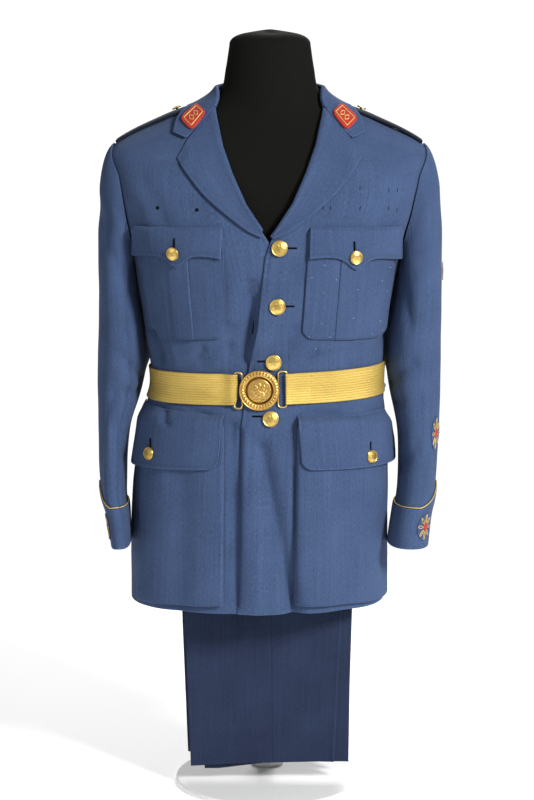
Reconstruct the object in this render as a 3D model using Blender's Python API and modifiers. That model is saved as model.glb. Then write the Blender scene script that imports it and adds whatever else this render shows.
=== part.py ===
"""Air force officer's uniform on a limbless dress form: a belted tunic with notched lapels, over trousers
that are folded across a bar under the form.

The frame: +X is the wearer's left, -Y is the front, +Z is up, and the origin is the middle of the base's
underside. Every length is in metres and every angle in degrees.

The torso is one loft, measured round the body by an angle (0 at the wearer's left side, 90 at the middle
of the front, 180 at the right side, 270 at the middle of the back) and up it by a level (the row number
of TORSO). The form, the cloth and all that lies on the cloth are stretches of that loft, moved out along
its normals.
"""

import math
from collections import namedtuple

import bmesh
import bpy
import numpy as np
from mathutils import Matrix, Vector

# Driving sizes of the cloth
CLOTH = 0.0020
SEAM_GAP = 0.0003
LAYER_GAP = 0.0006
LAYER = CLOTH + LAYER_GAP

# Main heights
FORM_BASE_Z = 0.5780

Row = namedtuple(
    "Row",
    "name z_side z_front z_back centre_x half_width front back front_power back_power",
)
TORSO = [
    Row("hem", 0.288, 0.288, 0.288, -0.0175, 0.1850, 0.1270, 0.1220, 2.4, 2.3),
    Row("pouch", 0.400, 0.400, 0.400, -0.0150, 0.1870, 0.1290, 0.1240, 2.4, 2.3),
    Row("hip", 0.500, 0.500, 0.500, -0.0105, 0.1835, 0.1280, 0.1220, 2.4, 2.3),
    Row("flap_top", 0.570, 0.570, 0.570, -0.0060, 0.1735, 0.1210, 0.1130, 2.4, 2.3),
    Row("waist", 0.612, 0.612, 0.612, -0.0030, 0.1665, 0.1155, 0.1060, 2.3, 2.2),
    Row("ribs", 0.680, 0.680, 0.680, -0.0050, 0.1735, 0.1205, 0.1095, 2.3, 2.2),
    Row("chest", 0.745, 0.745, 0.745, -0.0045, 0.1830, 0.1255, 0.1140, 2.3, 2.2),
    Row("armpit", 0.800, 0.800, 0.800, -0.0030, 0.1930, 0.1265, 0.1180, 2.6, 2.5),
    Row("blade", 0.860, 0.855, 0.862, -0.0010, 0.2130, 0.1210, 0.1200, 3.0, 2.8),
    Row("yoke", 0.912, 0.893, 0.914, 0.0000, 0.2240, 0.1110, 0.1120, 3.0, 2.8),
    Row("shoulder", 0.950, 0.925, 0.951, 0.0000, 0.2235, 0.0960, 0.0980, 2.7, 2.6),
    Row("mid_shoulder", 0.988, 0.958, 0.994, 0.0000, 0.1500, 0.0770, 0.0800, 2.3, 2.2),
    Row("near_neck", 1.011, 0.983, 1.021, 0.0005, 0.0980, 0.0620, 0.0680, 2.0, 2.0),
    Row("neck_base", 1.032, 1.006, 1.042, 0.0010, 0.0735, 0.0540, 0.0610, 2.0, 2.0),
    Row("neck", 1.062, 1.050, 1.068, 0.0012, 0.0665, 0.0510, 0.0570, 2.0, 2.0),
    Row("neck_top", 1.094, 1.090, 1.098, 0.0013, 0.0615, 0.0500, 0.0540, 2.0, 2.0),
]
LEVEL = {row.name: index for index, row in enumerate(TORSO)}
TABLE = np.array([row[1:] for row in TORSO])

Fold = namedtuple("Fold", "face x_low z_low x_high z_high width depth")
FOLDS = [
    Fold("front", -0.045, 0.655, -0.028, 0.760, 0.0130, -0.0080),
    Fold("front", -0.050, 0.300, -0.052, 0.560, 0.0090, -0.0040),
    Fold("front", 0.028, 0.290, -0.010, 0.520, 0.0170, -0.0050),
    Fold("front", -0.016, 0.290, -0.030, 0.480, 0.0170, 0.0030),
    Fold("front", -0.150, 0.640, -0.165, 0.690, 0.0090, -0.0040),
    Fold("front", -0.095, 0.650, -0.060, 0.672, 0.0080, -0.0025),
    Fold("front", 0.060, 0.655, 0.130, 0.668, 0.0080, -0.0025),
    Fold("front", 0.085, 0.658, 0.150, 0.661, 0.0060, 0.0012),
    Fold("back", -0.060, 0.650, -0.030, 0.740, 0.0140, -0.0045),
    Fold("back", 0.055, 0.650, 0.035, 0.730, 0.0140, -0.0045),
    Fold("back", -0.100, 0.300, -0.085, 0.520, 0.0200, -0.0060),
    Fold("back", 0.085, 0.300, 0.075, 0.540, 0.0200, -0.0060),
    Fold("back", -0.010, 0.300, -0.004, 0.500, 0.0180, 0.0040),
]


def splined(table, level):
    """Values of a table's columns at fractional rows, on a Catmull-Rom curve."""
    level = np.clip(np.asarray(level, float), 0, len(table) - 1)
    first = np.minimum(level.astype(int), len(table) - 2)
    t = (level - first)[..., None]
    before = table[np.maximum(first - 1, 0)]
    start, end = table[first], table[first + 1]
    after = table[np.minimum(first + 2, len(table) - 1)]
    return 0.5 * (
        2 * start
        + (end - before) * t
        + (2 * before - 5 * start + 4 * end - after) * t**2
        + (3 * start - before - 3 * end + after) * t**3
    )


def smooth(t):
    t = np.clip(t, 0.0, 1.0)
    return t * t * (3 - 2 * t)


def power(value, exponent):
    return np.sign(value) * np.abs(value) ** exponent


def loft(angle, level):
    """Points of the torso's loft."""
    angle, level = np.broadcast_arrays(np.asarray(angle, float), np.asarray(level, float))
    row = splined(TABLE, level)
    z_side, z_front, z_back, centre, half, front, back, front_power, back_power = np.moveaxis(row, -1, 0)
    c, s = np.cos(np.radians(angle)), np.sin(np.radians(angle))
    ahead = s > 0
    exponent = 2 / np.where(ahead, front_power, back_power)
    x = centre + half * power(c, exponent)
    y = -np.where(ahead, front, back) * power(s, exponent)
    z = z_side + (np.where(ahead, z_front, z_back) - z_side) * s**2
    return np.stack([x, y, z], axis=-1)


def normals(surface, u, v, du, dv):
    across = surface(u + du, v) - surface(u - du, v)
    along = surface(u, v + dv) - surface(u, v - dv)
    found = np.cross(along, across)
    return found / np.linalg.norm(found, axis=-1, keepdims=True)


def fold_depth(points, angle):
    """How far the folds move the cloth out at these points."""
    ahead = np.sin(np.radians(angle)) > 0
    total = np.zeros(points.shape[:-1])
    for fold in FOLDS:
        start = np.array([fold.x_low, fold.z_low])
        way = np.array([fold.x_high, fold.z_high]) - start
        offset = points[..., [0, 2]] - start
        t = (offset @ way) / (way @ way)
        near = offset - np.clip(t, 0, 1)[..., None] * way
        fade = np.exp(-((np.linalg.norm(near, axis=-1) / fold.width) ** 2))
        total += np.where(ahead == (fold.face == "front"), fold.depth * fade, 0.0)
    return total


def skin(angle, level, lift=0.0, folded=True):
    """The loft moved out by lift along its normals, with the cloth's folds."""
    angle, level = np.broadcast_arrays(np.asarray(angle, float), np.asarray(level, float))
    points = loft(angle, level)
    out = lift + (fold_depth(points, angle) if folded else 0.0)
    return points + normals(loft, angle, level, 1.0, 0.02) * np.asarray(out)[..., None]


def level_at(angle, z):
    """The level where the loft reaches height z at this angle."""
    angle, z = np.broadcast_arrays(np.asarray(angle, float), np.asarray(z, float))
    low, high = np.zeros(z.shape), np.full(z.shape, len(TORSO) - 1.0)
    for _ in range(40):
        middle = (low + high) / 2
        under = loft(angle, middle)[..., 2] < z
        low, high = np.where(under, middle, low), np.where(under, high, middle)
    return (low + high) / 2


def angle_at(x, level, face=1):
    """The angle where this level's ring has that x, on the front (face 1) or the back (face -1)."""
    row = splined(TABLE, level)
    ratio = np.clip((x - row[..., 3]) / row[..., 4], -1, 1)
    exponent = np.where(face > 0, row[..., 7], row[..., 8]) / 2
    c = power(ratio, exponent)
    return np.degrees(np.arctan2(face * np.sqrt(np.maximum(1 - c * c, 0)), c)) % 360


def locate(x, z, face=1):
    """(angle, level) of the loft's point at that x and height."""
    x, z = np.broadcast_arrays(np.asarray(x, float), np.asarray(z, float))
    low, high = np.zeros(z.shape), np.full(z.shape, len(TORSO) - 1.0)
    for _ in range(40):
        middle = (low + high) / 2
        under = loft(angle_at(x, middle, face), middle)[..., 2] < z
        low, high = np.where(under, middle, low), np.where(under, high, middle)
    level = (low + high) / 2
    return angle_at(x, level, face), level


def locate_from_above(x, y):
    """(angle, level) of the loft's point over (x, y) on a shoulder."""
    x, y = np.broadcast_arrays(np.asarray(x, float), np.asarray(y, float))
    low = np.full(x.shape, float(LEVEL["shoulder"]))
    high = np.full(x.shape, float(LEVEL["neck_base"]))
    for _ in range(40):
        middle = (low + high) / 2
        row = splined(TABLE, middle)
        depth = np.where(y < 0, row[..., 5], row[..., 6])
        exponent = np.where(y < 0, row[..., 7], row[..., 8]) / 2
        s = np.clip(np.abs(y) / depth, 0, 1) ** exponent * np.where(y < 0, 1, -1)
        angle = np.degrees(np.arctan2(s, np.sign(x) * np.sqrt(1 - s * s)))
        outside = np.abs(loft(angle, middle)[..., 0]) > np.abs(x)
        low, high = np.where(outside, middle, low), np.where(outside, high, middle)
    return angle, (low + high) / 2


# The materials
def material(name, colour, roughness, metallic=0.0):
    made = bpy.data.materials.new(name)
    made.use_nodes = True
    shader = made.node_tree.nodes["Principled BSDF"]
    shader.inputs["Base Color"].default_value = (*colour, 1.0)
    shader.inputs["Roughness"].default_value = roughness
    shader.inputs["Metallic"].default_value = metallic
    return made


for stale in list(bpy.data.objects):
    bpy.data.objects.remove(stale, do_unlink=True)

uniform = bpy.data.collections.new("officer_uniform")
bpy.context.scene.collection.children.link(uniform)

TUNIC = material("tunic_wool", (0.065, 0.105, 0.215), 0.85)
TROUSER = material("trouser_wool", (0.040, 0.065, 0.140), 0.85)
GOLD = material("gilt_brass", (0.80, 0.58, 0.20), 0.35, 1.0)
BROCADE = material("gold_brocade", (0.70, 0.58, 0.25), 0.50, 0.5)
PATCH = material("red_felt", (0.50, 0.05, 0.04), 0.80)
BADGE = material("bullion", (0.62, 0.45, 0.15), 0.60, 0.3)
FORM = material("black_form", (0.012, 0.012, 0.011), 0.70)
LACQUER = material("white_lacquer", (0.80, 0.80, 0.78), 0.40)
DARK_BRASS = material("dark_brass", (0.10, 0.075, 0.04), 0.45, 0.9)


# Making objects
def add_object(name, mesh, finish):
    made = bpy.data.objects.new(name, mesh)
    mesh.materials.append(finish)
    uniform.objects.link(made)
    return made


def grid_mesh(name, points, closed=False):
    """A mesh of quads through a grid of points, facing the way that normals() points."""
    rows, columns = points.shape[:2]
    mesh = bmesh.new()
    verts = [[mesh.verts.new(point) for point in row] for row in points]
    for i in range(rows - 1):
        for j in range(columns if closed else columns - 1):
            k = (j + 1) % columns
            mesh.faces.new((verts[i][j], verts[i + 1][j], verts[i + 1][k], verts[i][k]))
    made = bpy.data.meshes.new(name)
    mesh.to_mesh(made)
    mesh.free()
    return made


def cloth(name, points, finish, thickness=CLOTH, closed=False, turned=False):
    """A wall of cloth on a grid of points, its inner face. Rows go up, columns go round by angle."""
    made = add_object(name, grid_mesh(name, points[:, ::-1] if turned else points, closed), finish)
    made.data.shade_smooth()
    wall = made.modifiers.new("wall", "SOLIDIFY")
    wall.thickness = thickness
    wall.offset = 1.0
    wall.use_even_offset = False
    return made


def wire(name, points, radius, finish, closed=False, sides=2, origin=(0.0, 0.0, 0.0)):
    """A round wire or cord along a list of points, as a curve with a bevel, its origin where it turns."""
    curve = bpy.data.curves.new(name, "CURVE")
    curve.dimensions = "3D"
    curve.bevel_depth = radius
    curve.bevel_resolution = sides
    curve.use_fill_caps = True
    spline = curve.splines.new("POLY")
    spline.points.add(len(points) - 1)
    for place, point in zip(spline.points, points):
        place.co = (*(Vector(point) - Vector(origin)), 1.0)
    spline.use_cyclic_u = closed
    made = bpy.data.objects.new(name, curve)
    made.location = origin
    curve.materials.append(finish)
    uniform.objects.link(made)
    return made


def turned(name, profile, steps, finish):
    """A solid turned round its own Z, from a profile of (radius, height) that runs from the top down."""
    mesh = bmesh.new()
    verts = [mesh.verts.new((radius, 0.0, height)) for radius, height in profile]
    for first, second in zip(verts, verts[1:]):
        mesh.edges.new((first, second))
    data = bpy.data.meshes.new(name)
    mesh.to_mesh(data)
    mesh.free()
    made = add_object(name, data, finish)
    screw = made.modifiers.new("turn", "SCREW")
    screw.steps = screw.render_steps = steps
    screw.use_merge_vertices = True
    screw.merge_threshold = 0.00005
    return made


def stand_on(made, point, outward):
    """Puts an object's origin at a point with its Z along outward."""
    turn = Vector(outward).to_track_quat("Z", "Y").to_matrix().to_4x4()
    made.matrix_world = Matrix.Translation(Vector(point)) @ turn
    return made


# The edges of the tunic's panels
ARMHOLE_MIDDLE = 8.5
ARMHOLE_HALF = 1.5
ARMHOLE_REACH = 24.0
NECKLINE = 12.10
NECKLINE_FRONT = 11.40
NECKLINE_TURN = 40.0
SEAM_ANGLE = 0.06

Edge = namedtuple("Edge", "z x")
ROLL = [
    Edge(0.826, 0.000), Edge(0.872, 0.0315), Edge(0.915, 0.0515), Edge(0.951, 0.0650), Edge(0.990, 0.0740),
    Edge(1.016, 0.0780), Edge(1.030, 0.0765),
]
LEFT_EDGE = [
    Edge(0.288, -0.045), Edge(0.330, -0.044), Edge(0.430, -0.041), Edge(0.560, -0.039), Edge(0.635, -0.030),
    Edge(0.700, -0.016), Edge(0.760, -0.010), Edge(0.800, -0.006),
]
RIGHT_EDGE = [Edge(0.288, 0.016), Edge(0.600, 0.022), Edge(0.760, 0.024), Edge(0.790, 0.020)]
OVERLAP_FROM = 75.0
OVERLAP_EASE = 50.0
UNDERLAP_DROP = 0.0030
UNDERLAP_EASE = 0.012


def armhole_angle(level):
    """How far round from the side the armhole's cut lies at this level."""
    q = np.clip((np.asarray(level, float) - ARMHOLE_MIDDLE) / ARMHOLE_HALF, -1, 1)
    return ARMHOLE_REACH * (1 - q * q) ** 0.4


def front_edge(side):
    """(angles, levels) along a front's edge, from the hem up the closing edge and the lapel's roll line."""
    lower = LEFT_EDGE if side > 0 else RIGHT_EDGE
    table = np.array(lower + [Edge(row.z, side * row.x) for row in ROLL])
    z = np.linspace(table[0, 0], table[-1, 0], 80)
    return locate(np.interp(z, table[:, 0], table[:, 1]), z)


def overlap_lift(angle):
    """How far the wearer's left front lies out from the loft, so that it clears the right one under it."""
    return LAYER * np.clip(1 - (OVERLAP_FROM - np.asarray(angle, float)) / OVERLAP_EASE, 0, 1)


def underlap_drop(points):
    """How far the right front gives way under the left one."""
    table = np.array(LEFT_EDGE + [Edge(ROLL[0].z, ROLL[0].x)])
    edge = np.interp(points[..., 2], table[:, 0], table[:, 1])
    return UNDERLAP_DROP * smooth((points[..., 0] - edge + 0.003) / UNDERLAP_EASE)


def neckline(angle):
    """Level of the neck seam, angle degrees round from the shoulder; it drops towards the front."""
    return NECKLINE + (NECKLINE_FRONT - NECKLINE) * np.clip(np.asarray(angle, float) / NECKLINE_TURN, 0, 1)


def front_panel(side):
    """Grid of the inner face of one front, side 1 for the wearer's left and -1 for the right."""
    edge_angle, edge_level = front_edge(side)
    levels = np.concatenate([
        [0, 1.0, 1.9, 2.6, 3.3, 4.0, 4.5, 5.0, 5.6, 6.3, 7.0], [7.12, 7.6, 8.2, 8.8, 9.4, 9.9, 10.0],
        [10.5, 11.1],
    ])
    shares = np.array([0, 0.08, 0.20, 0.33, 0.46, 0.58, 0.69, 0.79, 0.87, 0.94, 1.0])
    places = [(np.full(len(shares), level), level) for level in levels]
    last = np.interp(NECKLINE_FRONT, edge_level, edge_angle if side > 0 else 180 - edge_angle)
    top = neckline(shares * last)
    for share in (0.5, 1.0):
        row = levels[-1] + (top - levels[-1]) * share
        places.append((row, row[-1]))
    rows = []
    for row, level in places:
        outer = armhole_angle(level) + SEAM_ANGLE
        inner = np.interp(level, edge_level, edge_angle if side > 0 else 180 - edge_angle)
        angle = outer + (inner - outer) * shares
        if side > 0:
            rows.append(skin(angle, row, overlap_lift(angle)))
        else:
            rows.append(skin(180 - angle, row, -underlap_drop(skin(180 - angle, row))))
    return np.array(rows)


def back_panel(side):
    """Grid of the inner face of one back, from the side seam to the middle of the back."""
    levels = np.concatenate([
        [0, 1.3, 2.5, 3.3, 4.0, 4.5, 5.2, 6.1, 7.0],
        [7.12, 7.7, 8.4, 9.1, 9.7, 10.0], [10.5, 11.1, 11.7, NECKLINE],
    ])
    shares = np.array([0, 0.11, 0.26, 0.42, 0.58, 0.74, 0.88, 1.0])
    rows = []
    for level in levels:
        outer = armhole_angle(level) + SEAM_ANGLE
        angle = -(outer + (90 - SEAM_ANGLE - outer) * shares)
        rows.append(skin(angle if side > 0 else 180 - angle, level))
    return np.array(rows)


def patch_on_front(side, x, z, lift):
    """Points lying on one front at those places, lift away from it."""
    angle, level = locate(x, z)
    return skin(angle, level, lift + (overlap_lift(angle) if side > 0 else 0.0))


# The form and its stand
BASE_RADIUS = 0.140
BASE_THICKNESS = 0.008
POLE_RADIUS = 0.0125
POLE_Y = 0.052
BAR_RADIUS = 0.0050
BAR_Z = 0.5400
BAR_Y = -0.022
BAR_HALF = 0.1340
BAR_X = -0.0025
FORM_FREE = 0.0120
FORM_SNUG = 0.0030


Crown = namedtuple("Crown", "share rise")
CROWN = [Crown(0.93, 0.0080), Crown(0.80, 0.0150), Crown(0.45, 0.0205)]
CROWN_SINK = 0.35


def dress_form():
    """The limbless form: smooth, closed, with room under the cloth except on the shoulders."""
    first = float(level_at(0.0, FORM_BASE_Z))
    levels = np.array([first, 5, 6, 7, 8, 8.8, 9.5, 10, 10.5, 11.1, 11.7, 12.3, 13.2, 15.0])
    angles = np.arange(0, 360, 18.0)
    rows = []
    for level in levels:
        room = FORM_FREE + (FORM_SNUG - FORM_FREE) * smooth((level - 7.5) / 2.7)
        rows.append(skin(angles, level, -room, folded=False))
    top = rows[-1]
    middle = top.mean(axis=0)
    for crown in CROWN:
        ring = middle + (top - middle) * crown.share
        ring[:, 2] = top[:, 2] + crown.rise - CROWN_SINK * (top[:, 2] - middle[2]) * (1 - crown.share)
        rows.append(ring)
    rows[0][:, 2] = FORM_BASE_Z
    made = add_object("dress_form", grid_mesh("dress_form", np.array(rows), closed=True), FORM)
    mesh = bmesh.new()
    mesh.from_mesh(made.data)
    bmesh.ops.holes_fill(mesh, edges=[edge for edge in mesh.edges if edge.is_boundary])
    bmesh.ops.recalc_face_normals(mesh, faces=mesh.faces)
    mesh.to_mesh(made.data)
    mesh.free()
    made.data.shade_smooth()
    return made


def stand():
    base = turned("base_plate", [
        (0.0, BASE_THICKNESS), (BASE_RADIUS - 0.003, BASE_THICKNESS), (BASE_RADIUS, BASE_THICKNESS - 0.003),
        (BASE_RADIUS, 0.0), (0.0, 0.0),
    ], 36, LACQUER)
    top = FORM_BASE_Z - SEAM_GAP
    bottom = BASE_THICKNESS + SEAM_GAP
    pole = turned("form_pole", [
        (0.0, top), (POLE_RADIUS, top), (POLE_RADIUS, bottom + 0.012),
        (0.024, bottom + 0.008), (0.024, bottom),
        (0.0, bottom),
    ], 16, LACQUER)
    pole.location = (BAR_X, POLE_Y, 0.0)
    corner = 0.012
    left, right = BAR_X + BAR_HALF, BAR_X - BAR_HALF
    path = [(right, BAR_Y, FORM_BASE_Z - SEAM_GAP)]
    for turn in range(0, 91, 18):
        a = math.radians(turn)
        path.append((right + corner * (1 - math.cos(a)), BAR_Y, BAR_Z + corner * (1 - math.sin(a))))
    path += [(2 * BAR_X - x, y, z) for x, y, z in reversed(path)]
    wire("trouser_bar", path, BAR_RADIUS, LACQUER, sides=3)


# The trousers, folded flat and hung over the bar
LEG_THICKNESS = 0.0064
LEG_GROOVE = 0.0022
LEG_GAP = 0.0008


def leg_section(half_width):
    """(across, out) points round a folded leg: two rounded layers with a groove between them at each edge."""
    radius = LEG_THICKNESS / 4
    rim = []
    for centre, turns in ((-radius, (-90, -30, 30)), (0.0, ()), (radius, (-30, 30, 90))):
        if not turns:
            rim.append((half_width - radius - LEG_GROOVE, 0.0))
        for turn in turns:
            a = math.radians(turn)
            rim.append((half_width - radius + radius * math.cos(a), centre + radius * math.sin(a)))
    front = [(share * half_width, LEG_THICKNESS / 2) for share in (0.4, -0.4)]
    return rim + front + [(-x, y) for x, y in reversed(rim)] + [(x, -y) for x, y in reversed(front)]


Hang = namedtuple("Hang", "name along centre_x half_width")
FRONT_HANG = [
    Hang("hem", 0.0, 0.0010, 0.1175), Hang("calf", 0.22, -0.0020, 0.1225),
    Hang("knee", 0.50, -0.0025, 0.1225),
]
BACK_HANG = [
    Hang("knee", 0.50, -0.0025, 0.1225), Hang("thigh", 0.78, -0.0010, 0.1250),
    Hang("waist", 1.0, 0.0, 0.1180),
]


def leg_path(offset, front_z, back_z):
    """(y, z, turn) along a leg: up the front, over the bar and down the back, offset out from the bar."""
    bend = BAR_RADIUS + offset
    front = [(BAR_Y - bend, z, 0.0) for z in np.linspace(front_z, BAR_Z, 7)[:-1]]
    over = [
        (BAR_Y - bend * math.cos(a), BAR_Z + bend * math.sin(a), a) for a in np.linspace(0, math.pi, 7)
    ]
    back = [(BAR_Y + bend, z, math.pi) for z in np.linspace(BAR_Z, back_z, 5)[1:]]
    return front + over + back


Leg = namedtuple("Leg", "name offset front_z back_z shift")
LEGS = [
    Leg("trouser_leg_front", LEG_THICKNESS * 1.5 + LEG_GAP + 0.0009, 0.0335, 0.0400, 0.0),
    Leg("trouser_leg_back", LEG_THICKNESS / 2 + 0.0006, 0.0300, 0.0480, -0.0035),
]


def trouser_leg(name, offset, front_z, back_z, shift):
    """One folded leg, a rounded solid whose side edges show its two layers."""
    path = leg_path(offset, front_z, back_z)
    table = np.array([row[1:] for row in FRONT_HANG + BACK_HANG[1:]])
    length = np.cumsum([0.0] + [math.dist(a[:2], b[:2]) for a, b in zip(path, path[1:])])
    rings = []
    for (y, z, turn), far in zip(path, length / length[-1]):
        centre = np.interp(far, table[:, 0], table[:, 1]) + shift
        half = np.interp(far, table[:, 0], table[:, 2])
        sway = 0.0035 * math.sin(math.pi * min(far / 0.46, 1.0)) if turn == 0.0 else 0.0
        ring = []
        for across, out in leg_section(half):
            ring.append((centre + across, y - math.cos(turn) * out - sway, z + math.sin(turn) * out))
        rings.append(ring)
    made = add_object(name, grid_mesh(name, np.array(rings), closed=True), TROUSER)
    mesh = bmesh.new()
    mesh.from_mesh(made.data)
    bmesh.ops.holes_fill(mesh, edges=[edge for edge in mesh.edges if edge.is_boundary])
    bmesh.ops.recalc_face_normals(mesh, faces=mesh.faces)
    mesh.to_mesh(made.data)
    mesh.free()
    return made


# The collar, a stand against the neck that folds over into a fall
COLLAR_LIFT = 0.0073
STAND_LIFT = 0.0010
Fall = namedtuple("Fall", "name fold_angle fold_level edge_angle edge_level")
Bend = namedtuple("Bend", "rise share")
FOLD_ROUND = [Bend(0.0, 0.0), Bend(0.061, 0.15), Bend(0.087, 0.5), Bend(0.061, 0.85), Bend(0.0, 1.0)]
GORGE = Edge(0.9900, 0.0745)
NOTCH = Edge(0.9690, 0.1165)
COLLAR_POINT = Edge(0.9750, 0.1345)
NOTCH_SHARE = 0.70
NOTCH_FADE = 0.12


def place_of(edge):
    return [float(value) for value in locate(edge.x, edge.z)]


FALLS = [
    Fall("front_end", *place_of(GORGE), *place_of(COLLAR_POINT)),
    Fall("side_front", 24.0, 12.72, 12.0, 11.45),
    Fall("shoulder", 8.0, 13.00, 0.0, 11.62),
    Fall("side_back", -30.0, 13.05, -30.0, 11.45),
    Fall("back", -60.0, 13.08, -60.0, 11.15),
    Fall("middle", -90.0, 13.08, -90.0, 11.08),
]
FALL_TABLE = np.array([row[1:] for row in FALLS])


def fall_place(s, w):
    """(angle, level) on the fall: s runs from the front end to the back's middle, w from fold to edge."""
    row = splined(FALL_TABLE, np.asarray(s, float) * (len(FALLS) - 1))
    start, end = row[..., :2], row[..., 2:]
    notch = np.array(place_of(NOTCH))
    if w < NOTCH_SHARE:
        notched = start + (notch - start) * w / NOTCH_SHARE
    else:
        notched = notch + (end - notch) * (w - NOTCH_SHARE) / (1 - NOTCH_SHARE)
    near_end = np.clip(1 - np.asarray(s, float) / NOTCH_FADE, 0, 1)[..., None]
    return start + (end - start) * w + (notched - start - (end - start) * w) * near_end


def collar_grid():
    """The collar's path runs up the stand, over the fold and down the outside of the fall."""
    s = np.array([0.0, 0.06, 0.12, 0.22, 0.32, 0.42, 0.54, 0.68, 0.84, 1.0])
    fold = fall_place(s, 0.0)
    bottom = np.stack([fold[:, 0], neckline(np.maximum(fold[:, 0], 0)) + 0.05], axis=-1)
    rows = [(bottom + (fold - bottom) * share, STAND_LIFT) for share in (0.0, 0.5)]
    for bend in FOLD_ROUND:
        rows.append((fold + np.array([0.0, bend.rise]), STAND_LIFT + (COLLAR_LIFT - STAND_LIFT) * bend.share))
    rows += [(fall_place(s, w), COLLAR_LIFT) for w in (0.22, 0.46, NOTCH_SHARE, 1.0)]
    place = np.array([row for row, _ in rows])
    lift = np.array([[lift] * len(s) for _, lift in rows])
    left = skin(place[..., 0], place[..., 1], lift, folded=False)
    right = skin(180 - place[..., 0], place[..., 1], lift, folded=False)
    return np.concatenate([right, left[:, -2::-1]], axis=1)


LAPEL_EDGE = [
    Edge(0.8265, 0.006), Edge(0.8365, 0.029), Edge(0.858, 0.0585), Edge(0.8845, 0.090), Edge(0.9155, 0.1165),
    Edge(0.935, 0.1290),
]
LAPEL_NOTCH = Edge(0.9655, 0.1150)
GORGE_GAP = 0.0045
LAPEL_LIFT = LAYER + 0.0005


def lapel(side):
    """The turned-back part of a front, from its roll line out to its edge."""
    roll = np.array(ROLL)
    edge = np.array(LAPEL_EDGE)
    t = np.linspace(0.0 if side > 0 else 0.08, 1.0, 10)
    w = np.array([0.0, 0.12, 0.30, 0.50, NOTCH_SHARE, 0.86, 1.0])
    z_roll = roll[0, 0] + 0.002 + (GORGE.z - GORGE_GAP - roll[0, 0] - 0.002) * t
    start = np.stack([z_roll, np.interp(z_roll, roll[:, 0], roll[:, 1])], axis=-1)[:, None]
    end = splined(edge, t * (len(edge) - 1))[:, None]
    notch = np.array(LAPEL_NOTCH)
    share = w[None, :, None]
    straight = start + (end - start) * share
    inner = start + (notch - start) * share / NOTCH_SHARE
    outer = notch + (end - notch) * (share - NOTCH_SHARE) / (1 - NOTCH_SHARE)
    bent = np.where(share < NOTCH_SHARE, inner, outer)
    place = straight + (bent - straight) * np.clip(1 - (1 - t) / 0.14, 0, 1)[:, None, None]
    return patch_on_front(side, side * place[..., 1], place[..., 0], LAPEL_LIFT)


# The pockets
Pocket = namedtuple("Pocket", "side z_top z_low top_in top_out low_in low_out")
CHEST_POCKETS = {
    "left": Pocket(1, 0.836, 0.686, 0.056, 0.180, 0.046, 0.166),
    "right": Pocket(-1, 0.836, 0.686, -0.065, -0.186, -0.059, -0.166),
}
HIP_POCKETS = {
    "left": Pocket(1, 0.560, 0.302, 0.040, 0.163, 0.037, 0.168),
    "right": Pocket(-1, 0.560, 0.302, -0.064, -0.177, -0.066, -0.188),
}
CORNER = 0.015
POUCH_EXTRA = 0.0010
PLEAT_RISE = 0.0012
PLEAT_FROM = 0.38
PLEAT_TO = 0.62
BELLOWS_FRONT = 0.0060
BELLOWS_BACK = 0.0025


def pocket_places(pocket, across, up):
    """(x, z) over a pocket's pouch, with its two lower corners rounded."""
    u, v = np.meshgrid(across, up)
    top = pocket.top_in + (pocket.top_out - pocket.top_in) * u
    low = pocket.low_in + (pocket.low_out - pocket.low_in) * u
    width = abs(pocket.low_out - pocket.low_in)
    from_edge = np.minimum(u, 1 - u) * width
    inside = np.clip(CORNER - from_edge, 0, CORNER)
    z_low = pocket.z_low + CORNER - np.sqrt(CORNER**2 - inside**2)
    return low + (top - low) * v, z_low + (pocket.z_top - z_low) * v


def chest_pouch(pocket):
    across = np.array([0, 0.04, 0.11, 0.24, 0.37, 0.385, 0.5, 0.615, 0.63, 0.76, 0.89, 0.96, 1.0])
    x, z = pocket_places(pocket, across, np.array([0, 0.08, 0.30, 0.53, 0.76, 1.0]))
    pleat = np.where((across > PLEAT_FROM) & (across < PLEAT_TO), PLEAT_RISE, 0.0)
    return patch_on_front(pocket.side, x, z, LAYER + POUCH_EXTRA + pleat)


def hip_pouch(pocket):
    across = np.array([0, 0.03, 0.10, 0.25, 0.4, 0.55, 0.7, 0.84, 0.97, 1.0])
    up = np.array([0, 0.014, 0.07, 0.25, 0.45, 0.65, 0.85, 0.985, 1.0])
    x, z = pocket_places(pocket, across, up)
    u, v = np.meshgrid(across, up)
    bulge = BELLOWS_FRONT + (BELLOWS_BACK - BELLOWS_FRONT) * u
    inner = (u > 0.01) & (u < 0.99) & (v > 0.01) & (v < 0.99)
    return patch_on_front(pocket.side, x, z, LAYER + POUCH_EXTRA + np.where(inner, bulge, 0.0))


Scallop = namedtuple("Scallop", "share rise")
SCALLOP = [
    Scallop(0.0, 0.0), Scallop(0.2, 0.0030), Scallop(0.34, 0.0010), Scallop(0.43, -0.0070),
    Scallop(0.5, -0.0125),
    Scallop(0.57, -0.0070), Scallop(0.66, 0.0010), Scallop(0.8, 0.0030), Scallop(1.0, 0.0),
]
Flap = namedtuple("Flap", "side z_top_in z_top_out z_low_in z_low_out top_in top_out low_in low_out")
CHEST_FLAPS = {
    "left": Flap(1, 0.842, 0.842, 0.799, 0.795, 0.0570, 0.1835, 0.0550, 0.1815),
    "right": Flap(-1, 0.842, 0.842, 0.799, 0.800, -0.0650, -0.1890, -0.0665, -0.1875),
}
HIP_FLAPS = {
    "left": Flap(1, 0.575, 0.573, 0.500, 0.496, 0.0390, 0.1640, 0.0430, 0.1760),
    "right": Flap(-1, 0.575, 0.580, 0.500, 0.492, -0.0630, -0.1780, -0.0690, -0.1890),
}
FLAP_CORNER = 0.017
FLAP_EXTRA = 0.0006


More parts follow.
